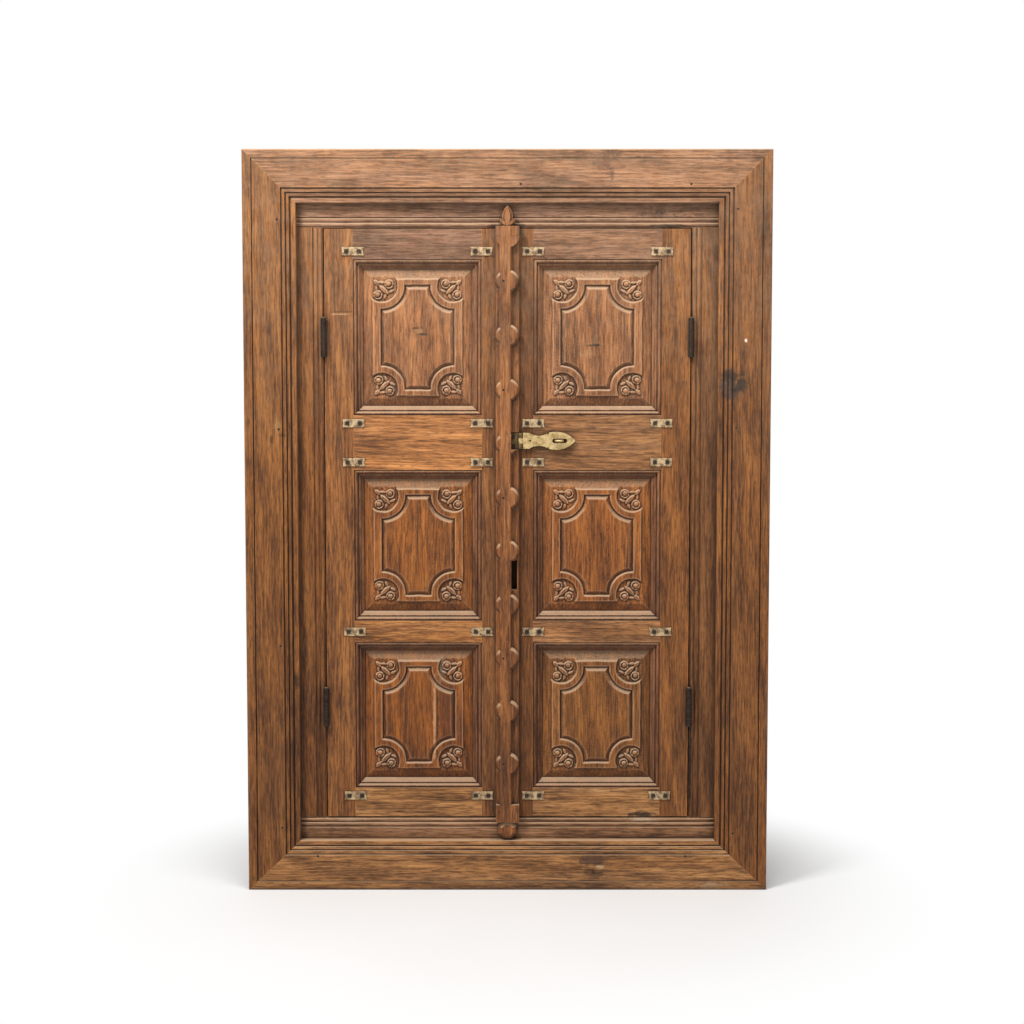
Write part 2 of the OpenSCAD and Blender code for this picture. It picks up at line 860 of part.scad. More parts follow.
// The finial: a pointed bud between two short side leaves.
module finial() {
    h = finial_h;
    t = astragal_t;
    intersection() {
        union() {
            finial_leaf(0, h * 0.44, 0, h * 1.12, 14, t - 4.5, t - 1.5);
            for (s = [-1, 1])
                finial_leaf(s * 5.6, 5.4, s * 46, 14, 7, t - 3.5, t - 1.2);
        }
        translate([-20, -1, -1])
            cube([40, h + 1, t + 2]);
    }
}

// The chisel cut below a boss, in the ledges on both sides of the rib.
module boss_cut() {
    r = boss_r - 0.05;
    for (a = [[186, 36], [295, 57]])
        rotate(a[0])
            rotate_extrude(angle = a[1], $fn = 64)
                polygon([[r, ledge_t - 2.4], [r + 2.4, ledge_t + 1.5], [r, ledge_t + 1.5]]);
}

module astragal() {
    w = astragal_w / 2;
    t = astragal_t;
    lx = rib_x - strip_w / 2;
    rx = rib_x + strip_w / 2;
    color(wood_leaf)
        difference() {
            facing(face_y)
                difference() {
                    union() {
                        translate([0, base_z0, 0])
                            mirror([1, 0, 0])
                                rotate([90, 0, 180])
                                    linear_extrude(cap_z1 - base_z0 - 5)
                                        polygon([
                                            [-w, 0], [w, 0], [w, ledge_t - 1.2], [w - 1.4, ledge_t],
                                            [rx + 1.6, ledge_t + 0.8], [rx + 0.4, t - 1.4], [rx - 1, t],
                                            [lx + 1, t], [lx - 0.4, t - 1.4], [lx - 1.6, ledge_t + 0.8],
                                            [-w + 1.4, ledge_t], [-w, ledge_t - 1.2]
                                        ]);
                        for (i = [0:boss_n - 1])
                            translate([0, boss_z1 - i * boss_pitch, 0])
                                rotate_extrude()
                                    polygon([
                                        [0, 0], [boss_r, 0], [boss_r, t - 3.4], [boss_r - 1.2, t - 1.4],
                                        [boss_r - 3.2, t], [0, t]
                                    ]);
                        translate([-w, cap_z0 + boss_r, 0])
                            cube([astragal_w, cap_h - boss_r, t]);
                        intersection() {
                            translate([0, cap_z0 + boss_r, 0])
                                cylinder(r = boss_r, h = t - 0.3);
                            translate([-w, cap_z0 - 1, 0])
                                cube([astragal_w, cap_h + 1, t]);
                        }
                        translate([-w, base_z0 - 0.5, 0])
                            cube([astragal_w, base_z1 - base_z0, t - 0.5]);
                        translate([0, astragal_z0 + knob_in, 0])
                            rotate(22.5)
                                rotate_extrude($fn = 8)
                                    polygon([
                                        [0, 0], [knob_r - 1.5, 0], [knob_r, 2], [knob_r, 6],
                                        [knob_r - 1.6, 9], [knob_r - 5, t - 2], [0, t - 1.4]
                                    ]);
                        translate([0, cap_z1 - 0.5, 0])
                            finial();
                    }
                    translate([meeting_gap / 2 - 0.5, 0, -1])
                        cube([w + 5, frame_h, 1 + lap_gap]);
                    translate([-w - 5, 0, -1])
                        cube([astragal_w + 10, leaf_z0, 1 + lap_gap]);
                    translate([-w - 5, leaf_z1, -1])
                        cube([astragal_w + 10, frame_h, 1 + lap_gap]);
                    translate([notch_x, hasp_z - notch_h / 2, notch_t])
                        cube([w, notch_h, t]);
                    translate([hasp_x - hasp_knuckle_r - 0.5, hasp_z - notch_h / 2, -1])
                        cube([w, notch_h, t + 2]);
                    translate([5, slot_z - 19, -1])
                        cube([7.5, 38, t]);
                    for (i = [0:boss_n - 1])
                        translate([0, boss_z1 - i * boss_pitch, 0])
                            boss_cut();
                }
            astragal_nail_bars(nail_r + nail_fit, 0);
            hasp_eye_nail_bars(1 + nail_fit, 0);
        }
}

// Frame of the hasp: X along it from its pin, Y up the door and Z towards the viewer from the pin.
module on_hasp() {
    translate([hasp_x, 0, hasp_z])
        facing(hasp_y)
            children();
}

// Knuckle i of the hasp's hinge.
module hasp_knuckle(i) {
    translate([0, -hasp_h / 2 + i * hasp_knuckle_h + hasp_knuckle_gap / 2, 0])
        rotate([-90, 0, 0])
            cylinder(r = hasp_knuckle_r, h = hasp_knuckle_h - hasp_knuckle_gap);
}

module hasp_bore(r) {
    translate([0, -hasp_h, 0])
        rotate([-90, 0, 0])
            cylinder(r = r, h = 2 * hasp_h);
}

module hasp_eye_nail_bars(r, g) {
    for (s = [-1, 1])
        bar_y(notch_x + 3.4, hasp_z + s * 6, r, face_y - notch_t - eye_t - 1, face_y - 0.6 - g);
}

module hasp_eye() {
    zb = hasp_y - face_y + notch_t;
    color(brass)
        difference() {
            on_hasp()
                difference() {
                    union() {
                        translate([notch_x + 0.3 - hasp_x, -hasp_h / 2, zb])
                            cube([hasp_x - notch_x - 0.3, hasp_h, eye_t]);
                        for (i = [0, 2])
                            hasp_knuckle(i);
                    }
                    translate([0, -hasp_knuckle_h / 2 - 0.1, 0])
                        rotate([-90, 0, 0])
                            cylinder(r = hasp_knuckle_r + 0.4, h = hasp_knuckle_h + 0.2);
                    hasp_bore(hasp_pin_r + 0.01);
                }
            hasp_eye_nail_bars(1 + nail_fit, 0);
        }
}

module hasp_eye_nails() {
    color(iron)
        for (s = [-1, 1]) {
            bar_y(notch_x + 3.4, hasp_z + s * 6, 1, face_y - notch_t - eye_t - 0.2, face_y - 1);
            bar_y(notch_x + 3.4, hasp_z + s * 6, 1.9, face_y - notch_t - eye_t - 0.7, face_y - notch_t - eye_t);
        }
}

module hasp_pin() {
    color(brass)
        on_hasp()
            translate([0, -hasp_h / 2 - 0.4, 0])
                rotate([-90, 0, 0])
                    cylinder(r = hasp_pin_r, h = hasp_h + 0.8);
}

// Outline of the hasp: a waisted strap that ends in a leaf.
module hasp_2d() {
    w = hasp_h / 2;
    waist = hasp_l - 46.9;
    shoulder = hasp_l - 35.9;
    notch = hasp_l - 33.9;
    tip_w = 11.5;
    m = hasp_l - 25;
    k = (625 - tip_w * tip_w) / (2 * tip_w);
    difference() {
        translate([0, -w])
            square([shoulder, 2 * w]);
        for (s = [-1, 1])
            translate([waist, s * (6.4 + 22)])
                circle(22);
    }
    translate([shoulder - 1, -w + 2])
        square([notch - shoulder + 2, 2 * w - 4]);
    intersection() {
        translate([m, -k])
            circle(k + tip_w, $fn = 96);
        translate([m, k])
            circle(k + tip_w, $fn = 96);
        translate([notch, -20])
            square([60, 40]);
    }
}

module hasp() {
    color(brass)
        on_hasp()
            difference() {
                union() {
                    difference() {
                        translate([0, 0, -hasp_t / 2])
                            linear_extrude(hasp_t)
                                hasp_2d();
                        for (s = [-1, 1])
                            translate([0, s * hasp_knuckle_h - hasp_knuckle_h / 2 - 1 + s, 0])
                                rotate([-90, 0, 0])
                                    cylinder(r = hasp_knuckle_r + 0.5, h = hasp_knuckle_h + 2);
                    }
                    hasp_knuckle(1);
                }
                hasp_bore(hasp_pin_r + pin_fit);
                translate([slot_at, 0, -5])
                    linear_extrude(10)
                        union() {
                            square([slot_l - slot_w, slot_w], center = true);
                            for (s = [-1, 1])
                                translate([s * (slot_l - slot_w) / 2, 0])
                                    circle(slot_w / 2);
                        }
                translate([12.7, 0, -5])
                    cylinder(r = 1.25, h = 10);
            }
}

// The staple's two legs, r being the wire's or the hole's radius and g extra depth of the hole.
module staple_legs(r, g) {
    y1 = face_y + staple_in + g;
    y0 = face_y - staple_out + staple_bend + staple_r;
    for (s = [-1, 1])
        bar_y(staple_x + s * staple_bend, hasp_z, r, y0, y1);
}

module staple() {
    y0 = face_y - staple_out + staple_bend + staple_r;
    color(brass) {
        staple_legs(staple_r, 0);
        translate([staple_x, y0, hasp_z])
            rotate([0, 0, 180])
                rotate_extrude(angle = 180)
                    translate([staple_bend, 0])
                        circle(staple_r, $fn = 32);
    }
}

casing_across(1);  // casing_top
casing_across(-1);  // casing_bottom
casing_upright(-1);  // casing_left
casing_upright(1);  // casing_right
lining_across(1);  // head
lining_across(-1);  // sill
jamb(-1);  // jamb_left
jamb(1);  // jamb_right
casing_nails();
hinge_half(-1, hinge_z[0], 0);  // hinge_left_lower_jamb
hinge_half(-1, hinge_z[1], 0);  // hinge_left_upper_jamb
hinge_half(1, hinge_z[0], 0);  // hinge_right_lower_jamb
hinge_half(1, hinge_z[1], 0);  // hinge_right_upper_jamb
hinge_pin(-1, hinge_z[0]);  // pin_left_lower
hinge_pin(-1, hinge_z[1]);  // pin_left_upper
hinge_pin(1, hinge_z[0]);  // pin_right_lower
hinge_pin(1, hinge_z[1]);  // pin_right_upper
jamb_screws();
hinge_stile(-1);  // left_hinge_stile
meeting_stile(-1);  // left_meeting_stile
rail(-1, 0);  // left_top_rail
rail(-1, 1);  // left_lock_rail
rail(-1, 2);  // left_lower_rail
rail(-1, 3);  // left_bottom_rail
panel(-1, 0);  // left_panel_top
panel(-1, 1);  // left_panel_middle
panel(-1, 2);  // left_panel_bottom
moulding(-1, 0);  // left_moulding_top
moulding(-1, 1);  // left_moulding_middle
moulding(-1, 2);  // left_moulding_bottom
hinge_half(-1, hinge_z[0], 1);  // hinge_left_lower_leaf
hinge_half(-1, hinge_z[1], 1);  // hinge_left_upper_leaf
leaf_screws(-1);  // left_screws
straps(-1);  // left_straps
strap_nails(-1);  // left_strap_nails
astragal();
astragal_nails();
hasp_eye();
hasp_eye_nails();
hasp_pin();
hasp();
hinge_stile(1);  // right_hinge_stile
meeting_stile(1);  // right_meeting_stile
rail(1, 0);  // right_top_rail
rail(1, 1);  // right_lock_rail
rail(1, 2);  // right_lower_rail
rail(1, 3);  // right_bottom_rail
panel(1, 0);  // right_panel_top
panel(1, 1);  // right_panel_middle
panel(1, 2);  // right_panel_bottom
moulding(1, 0);  // right_moulding_top
moulding(1, 1);  // right_moulding_middle
moulding(1, 2);  // right_moulding_bottom
hinge_half(1, hinge_z[0], 1);  // hinge_right_lower_leaf
hinge_half(1, hinge_z[1], 1);  // hinge_right_upper_leaf
leaf_screws(1);  // right_screws
straps(1);  // right_straps
strap_nails(1);  // right_strap_nails
staple();
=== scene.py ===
"""Looks of a carved double door in its frame: aged teak, dusty brass and blackened iron on a pale studio floor."""

import logging
import math
from dataclasses import dataclass, field
from enum import Enum

import bpy
import numpy as np
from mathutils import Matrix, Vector


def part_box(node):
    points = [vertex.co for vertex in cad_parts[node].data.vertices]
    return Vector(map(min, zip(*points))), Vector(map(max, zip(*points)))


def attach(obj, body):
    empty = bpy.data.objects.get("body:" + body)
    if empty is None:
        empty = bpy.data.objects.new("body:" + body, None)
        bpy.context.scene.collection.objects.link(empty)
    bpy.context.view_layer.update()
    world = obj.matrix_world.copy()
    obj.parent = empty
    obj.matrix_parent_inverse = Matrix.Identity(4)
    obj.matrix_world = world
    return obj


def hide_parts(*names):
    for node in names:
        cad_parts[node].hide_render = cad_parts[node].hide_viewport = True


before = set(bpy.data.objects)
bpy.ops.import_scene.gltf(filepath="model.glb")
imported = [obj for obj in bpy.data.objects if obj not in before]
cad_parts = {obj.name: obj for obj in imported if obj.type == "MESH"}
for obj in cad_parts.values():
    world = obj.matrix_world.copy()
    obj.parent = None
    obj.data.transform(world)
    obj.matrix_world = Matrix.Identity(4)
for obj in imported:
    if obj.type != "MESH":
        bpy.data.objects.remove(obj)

LOG = logging.getLogger("door")
MM = 0.001
FACE_Y = -9.5 * MM  # front face of the leaves, from which the carving's heights count
Tone = tuple[int, int, int]
Point = tuple[float, float, float]

# sRGB tones of what lies on the wood or shows in it, some of them painted shade and painted light
# grime, and painted shade, in hollows
GRIME_AND_SHADE: Tone = (34, 19, 11)
# painted shade on faces turned downward
UNDERSIDE_SHADE: Tone = (72, 38, 18)
# pale dust, and on upward ledges partly painted light
DUST_AND_LIGHT: Tone = (196, 164, 132)
PORE: Tone = (50, 28, 16)
FLECK: Tone = (56, 31, 17)
KNOT: Tone = (30, 19, 13)
# dirt and painted shade in the carving's cuts
CUT_DIRT_AND_SHADE: Tone = (38, 21, 12)
# rubbed wear and painted highlight on the carving's ridges
RUBBED_AND_HIGHLIGHT: Tone = (206, 164, 128)
WEATHERED: Tone = (58, 36, 22)
SPLINTER: Tone = (58, 38, 28)

# sizes of the wood's texture, as noise scales in one metre
STREAKS = 450.0
PORES = 1000.0
FLECKS = 520.0
TINTS = 70.0
BLOTCHES = 7.0
DENTS = 70.0

HOLLOW = 0.012  # how far the search for hollows reaches, in metres
HIGHLIT_RUBBED_EDGE = 0.0016  # width of an edge that hands have rubbed and that gets a painted highlight, in metres

# grain value, then the share of a board's red, green and blue there
GRAIN_STOPS = ((0.34, 0.4, 0.33, 0.28), (0.445, 0.8, 0.75, 0.7), (0.525, 1.04, 1.02, 1.0), (0.65, 1.34, 1.39, 1.46))
PALE_FLECK = (1.3, 1.3, 1.25)

# a corner's sprig, from the field's corner in millimetres: the middles of its buds, and its leaves with
# middle, length, width, turn in degrees and height
BUDS = ((7.2, 20.5), (21.5, 6.8))
BUD_RADIUS = 6.0
LEAVES = ((14.8, 13.9, 17.5, 6.6, 43, 2.5), (5.2, 4.9, 9.5, 5.6, 45, 2.1), (5.4, 11.4, 9, 3.4, 88, 1.8),
          (11.6, 4.6, 9, 3.4, 4, 1.8), (16.4, 22.2, 8.4, 3.8, 112, 1.9), (24.6, 15.6, 8.4, 3.8, -26, 1.9))


class Grain(Enum):
    """Direction of the wood's grain in a board."""

    UPRIGHT = "upright"
    LEVEL = "level"


def linear(rgb: Tone) -> tuple[float, float, float, float]:
    """Turns an sRGB colour into a linear one with alpha.

    Args:
        rgb: Red, green and blue from 0 to 255.

    Returns:
        The linear colour, with alpha 1.
    """
    out = []
    for c in rgb:
        v = c / 255
        out.append(v / 12.92 if v <= 0.04045 else ((v + 0.055) / 1.055) ** 2.4)
    return (out[0], out[1], out[2], 1.0)


def shade(tone: Tone, shares: tuple[float, float, float]) -> Tone:
    """Multiplies a tone channel by channel, up to full brightness.

    Args:
        tone: The tone.
        shares: Factor of red, green and blue.

    Returns:
        The new tone.
    """
    return tuple(min(255, int(c * k)) for c, k in zip(tone, shares, strict=True))


class Graph:
    """A thin helper that adds nodes to a shader tree and wires them by socket name."""

    def __init__(self, tree: bpy.types.NodeTree) -> None:
        """Keeps the tree.

        Args:
            tree: The node tree to build in.
        """
        self.tree = tree

    def add(self, kind: str, props: dict | None = None, **inputs: object) -> bpy.types.Node:
        """Adds one node.

        Args:
            kind: Blender's node type.
            props: Attributes to set on the node.
            inputs: Values or sockets for its inputs. A name is a socket's name with spaces as underscores,
                or i0, i1 and so on for a socket's place.

        Returns:
            The node.
        """
        node = self.tree.nodes.new(kind)
        for key, value in (props or {}).items():
            setattr(node, key, value)
        for key, value in inputs.items():
            place = key[1:].isdigit() and key[0] == "i"
            socket = node.inputs[int(key[1:])] if place else node.inputs[key.replace("_", " ")]
            if isinstance(value, bpy.types.NodeSocket):
                self.tree.links.new(value, socket)
            else:
                socket.default_value = value
        return node

    def math(self, op: str, a: object, b: object = 0.0, clamp: bool = False) -> bpy.types.NodeSocket:
        """Adds a math node.

        Args:
            op: The operation.
            a: First value or socket.
            b: Second value or socket.
            clamp: Whether the result stays from 0 to 1.

        Returns:
            The result's socket.
        """
        return self.add("ShaderNodeMath", {"operation": op, "use_clamp": clamp}, i0=a, i1=b).outputs[0]

    def weigh(self, *terms: tuple[bpy.types.NodeSocket, float]) -> bpy.types.NodeSocket:
        """Adds up values, each times its weight.

        Args:
            terms: Each value's socket and weight.

        Returns:
            The sum's socket.
        """
        parts = [self.math("MULTIPLY", socket, weight) for socket, weight in terms]
        total = parts[0]
        for part in parts[1:]:
            total = self.math("ADD", total, part)
        return total

    def mix(self, fac: object, a: object, b: object, blend: str = "MIX") -> bpy.types.NodeSocket:
        """Mixes two colours.

        Args:
            fac: How much of b shows.
            a: First colour.
            b: Second colour.
            blend: Blend mode.

        Returns:
            The mixed colour's socket.
        """
        node = self.add("ShaderNodeMix", {"data_type": "RGBA", "blend_type": blend}, i0=fac, i6=a, i7=b)
        return node.outputs[2]

    def ramp(self, fac: object, low: float, high: float) -> bpy.types.NodeSocket:
        """Maps a value so that low gives 0 and high gives 1, smoothly.

        Args:
            fac: The value.
            low: Value that gives 0.
            high: Value that gives 1.

        Returns:
            The mapped value's socket.
        """
        node = self.add("ShaderNodeMapRange", {"interpolation_type": "SMOOTHSTEP"}, i0=fac, i1=low, i2=high)
        return node.outputs[0]


def new_group(name: str, inputs: list[tuple[str, str, object]], outputs: list[tuple[str, str]]) -> tuple:
    """Makes a shader node group with named sockets.

    Args:
        name: The group's name.
        inputs: Name, socket type and default of each input.
        outputs: Name and socket type of each output.

    Returns:
        The tree, its graph helper, its input node and its output node.
    """
    tree = bpy.data.node_groups.new(name, "ShaderNodeTree")
    for label, kind, default in inputs:
        socket = tree.interface.new_socket(label, in_out="INPUT", socket_type=kind)
        if default is not None:
            socket.default_value = default
    for label, kind in outputs:
        tree.interface.new_socket(label, in_out="OUTPUT", socket_type=kind)
    graph = Graph(tree)
    return tree, graph, graph.add("NodeGroupInput"), graph.add("NodeGroupOutput")


class Effects:
    """The shared shader effects, each a node group made once."""

    def __init__(self) -> None:
        """Builds all groups."""
        self.grain = self._grain()
        self.dust = self._dust()
        self.mark = self._mark()

    def _grain(self) -> bpy.types.NodeTree:
        """Wood grain in a board's frame, whose Z runs along the grain.

        Returns:
            The node group.
        """
        f, v = "NodeSocketFloat", "NodeSocketVector"
        tree, g, src, out = new_group(
            "AgedGrain", [("Vector", v, None), ("Seed", f, 0.0)],
            [("Streak", f), ("Pores", f), ("Bands", f), ("Blotch", f), ("Tint", f), ("Flecks", f), ("Height", f)],
        )
        seed = g.add("ShaderNodeVectorMath", {"operation": "SCALE"}, i0=(1.73, 0.61, 2.9), Scale=src.outputs["Seed"])
        place = g.add("ShaderNodeVectorMath", {"operation": "ADD"}, i0=src.outputs["Vector"], i1=seed.outputs[0])
        slow = g.add("ShaderNodeVectorMath", {"operation": "MULTIPLY"}, i0=place.outputs[0], i1=(1.0, 1.0, 0.3))
        warp = g.add("ShaderNodeTexNoise", None, Vector=slow.outputs[0], Scale=9.0, Detail=3.0)
        shift = g.add("ShaderNodeVectorMath", {"operation": "MULTIPLY_ADD"}, i0=warp.outputs["Color"],
                      i1=(0.009, 0.009, 0.0), i2=place.outputs[0])
        fibre = g.add("ShaderNodeVectorMath", {"operation": "MULTIPLY"}, i0=shift.outputs[0], i1=(1.0, 1.0, 0.047))
        streak = g.add("ShaderNodeTexNoise", None, Vector=fibre.outputs[0], Scale=STREAKS, Detail=5.0, Roughness=0.78)
        pores = g.add("ShaderNodeTexNoise", None, Vector=fibre.outputs[0], Scale=PORES, Detail=3.0, Roughness=0.6)
        rings = g.add("ShaderNodeVectorMath", {"operation": "MULTIPLY"}, i0=shift.outputs[0], i1=(1.0, 1.0, 0.12))
        bands = g.add("ShaderNodeTexWave", {"wave_type": "BANDS", "bands_direction": "DIAGONAL"},
                      Vector=rings.outputs[0], Scale=17.0, Distortion=9.0, Detail=4.0, Detail_Scale=1.6)
        blotch = g.add("ShaderNodeTexNoise", None, Vector=place.outputs[0], Scale=BLOTCHES, Detail=4.0)
        tint = g.add("ShaderNodeTexNoise", None, Vector=fibre.outputs[0], Scale=TINTS, Detail=3.0)
        short = g.add("ShaderNodeVectorMath", {"operation": "MULTIPLY"}, i0=shift.outputs[0], i1=(1.0, 1.0, 0.13))
        flecks = g.add("ShaderNodeTexNoise", None, Vector=short.outputs[0], Scale=FLECKS, Detail=2.0)
        for label, node in (("Streak", streak), ("Pores", pores), ("Bands", bands), ("Blotch", blotch), ("Tint", tint),
                            ("Flecks", flecks)):
            tree.links.new(node.outputs["Fac"], out.inputs[label])
        height = g.weigh((streak.outputs["Fac"], 0.6), (pores.outputs["Fac"], 0.4))
        tree.links.new(height, out.inputs["Height"])
        return tree

    def _dust(self) -> bpy.types.NodeTree:
        """Dirt and painted shade in hollows, painted shade below, rubbed edges with a painted highlight, painted light
        growing towards the top, and pale dust on ledges (partly painted light) and towards the top.

        Returns:
            The node group.
        """
        f, v, c = "NodeSocketFloat", "NodeSocketVector", "NodeSocketColor"
        tree, g, src, out = new_group(
            "DirtShadeDustAndLight",
            [("Color", c, None), ("Vector", v, None), ("Dust", f, 0.5), ("Dirt", f, 0.8), ("RubAndHighlight", f, 0.5)],
            [("Color", c), ("Amount", f)],
        )
        # grime in the hollows that ambient occlusion finds, partly painted shade there
        hollow = g.add("ShaderNodeAmbientOcclusion", {"samples": 6}, Distance=HOLLOW)
        grime_and_shade = g.math("MULTIPLY", g.ramp(hollow.outputs["AO"], 0.95, 0.36), src.outputs["Dirt"])
        place = g.add("ShaderNodeSeparateXYZ", None, i0=src.outputs["Vector"])
        # painted light: the colour grows brighter towards the top, as the light falls from above
        top_light = g.math("ADD", g.math("MULTIPLY", place.outputs["Z"], 0.3), 0.86)
        top_lit = g.add("ShaderNodeVectorMath", {"operation": "SCALE"}, i0=src.outputs["Color"], Scale=top_light).outputs[0]
        dark = g.mix(grime_and_shade, top_lit, linear(GRIME_AND_SHADE))
        shape = g.add("ShaderNodeNewGeometry").outputs["Normal"]
        # rubbed edges, partly a painted highlight: convex edges get a lighter tone
        round_off = g.add("ShaderNodeBevel", {"samples": 4}, Radius=HIGHLIT_RUBBED_EDGE).outputs[0]
        turn = g.add("ShaderNodeVectorMath", {"operation": "DOT_PRODUCT"}, i0=round_off, i1=shape).outputs["Value"]
        rub_and_highlight = g.math("MULTIPLY", g.ramp(turn, 0.985, 0.86), g.ramp(hollow.outputs["AO"], 0.72, 0.95))
        light = g.add("ShaderNodeVectorMath", {"operation": "MULTIPLY_ADD"}, i0=top_lit, i1=(1.5, 1.45, 1.4),
                      i2=(0.06, 0.04, 0.025))
        dark = g.mix(g.math("MULTIPLY", rub_and_highlight, src.outputs["RubAndHighlight"]), dark, light.outputs[0])
        normal = g.add("ShaderNodeSeparateXYZ", None, i0=shape)
        # pale dust on upward faces, partly painted light where the light from above falls on them
        ledge_dust_and_light = g.ramp(normal.outputs["Z"], 0.1, 0.5)
        # painted shade on faces turned downward
        underside_shade = g.math("MULTIPLY", g.ramp(normal.outputs["Z"], -0.08, -0.4), src.outputs["Dirt"])
        dark = g.mix(g.math("MULTIPLY", underside_shade, 0.6), dark, linear(UNDERSIDE_SHADE))
        high = g.ramp(place.outputs["Z"], 0.45, 1.0)
        cloud = g.add("ShaderNodeTexNoise", None, Vector=src.outputs["Vector"], Scale=60.0, Detail=6.0, Roughness=0.7)
        patch = g.ramp(cloud.outputs["Fac"], 0.15, 0.85)
        film = g.math("MULTIPLY", g.math("ADD", g.math("MULTIPLY", high, 0.5), 0.03), patch)
        total = g.weigh((film, 0.75), (ledge_dust_and_light, 0.78))
        amount = g.math("MULTIPLY", total, src.outputs["Dust"], True)
        tree.links.new(g.mix(amount, dark, linear(DUST_AND_LIGHT)), out.inputs["Color"])
        tree.links.new(amount, out.inputs["Amount"])
        return tree

    def _mark(self) -> bpy.types.NodeTree:
        """A dark oval mark with a ragged edge, such as a knot, a hole or a stain.

        Returns:
            The node group.
        """
        f, v = "NodeSocketFloat", "NodeSocketVector"
        tree, g, src, out = new_group(
            "OvalMark",
            [("Vector", v, None), ("Centre", v, None), ("Size", v, None), ("Soft", f, 0.4)],
            [("Mask", f)],
        )
        place = src.outputs["Vector"]
        rough = g.add("ShaderNodeTexNoise", None, Vector=place, Scale=150.0, Detail=5.0, Roughness=0.65)
        off = g.add("ShaderNodeVectorMath", {"operation": "SUBTRACT"}, i0=place, i1=src.outputs["Centre"])
        unit = g.add("ShaderNodeVectorMath", {"operation": "DIVIDE"}, i0=off.outputs[0], i1=src.outputs["Size"])
        far = g.add("ShaderNodeVectorMath", {"operation": "LENGTH"}, i0=unit.outputs[0])
        swing = g.math("MULTIPLY", g.math("SUBTRACT", rough.outputs["Fac"], 0.5), 1.9)
        ragged = g.math("ADD", far.outputs["Value"], swing)
        edge = g.math("SUBTRACT", 1.0, src.outputs["Soft"])
        node = g.add("ShaderNodeMapRange", {"interpolation_type": "SMOOTHSTEP"}, i0=ragged, i1=1.0, i2=edge)
        tree.links.new(node.outputs[0], out.inputs["Mask"])
        return tree


@dataclass(frozen=True)
class Mark:
    """A knot, stain or hole on a board's face: place and half sizes in millimetres, strength, edge and tone."""

    x: float
    z: float
    rx: float
    rz: float
    strength: float = 0.8
    soft: float = 0.5
    tone: Tone = KNOT


def scar(x: float, z: float, rx: float, rz: float, count: int, seed: int,
         pale: Tone = (190, 152, 120)) -> tuple[Mark, ...]:
    """A rough scar of small pale and dark specks.

    Args:
        x: Its middle across, in millimetres.
        z: Its middle up.
        rx: Half its width.
        rz: Half its height.
        count: Number of specks.
        seed: Number that makes its pattern its own.
        pale: Tone of the pale specks.

    Returns:
        The specks.
    """
    rng = np.random.default_rng(seed)
    specks = []
    for i in range(count):
        a, b = rng.uniform(-1, 1, 2)
        w, h = rng.uniform(1.0, 1.9, 2)
        dark = i % 5 < 3
        size = 1.7 if dark else 1.0
        strength, tone = (0.6, SPLINTER) if dark else (0.32, pale)
        specks.append(Mark(x + rx * a, z + rz * b, w * size, h * size, strength, 0.8, tone))
    return tuple(specks)


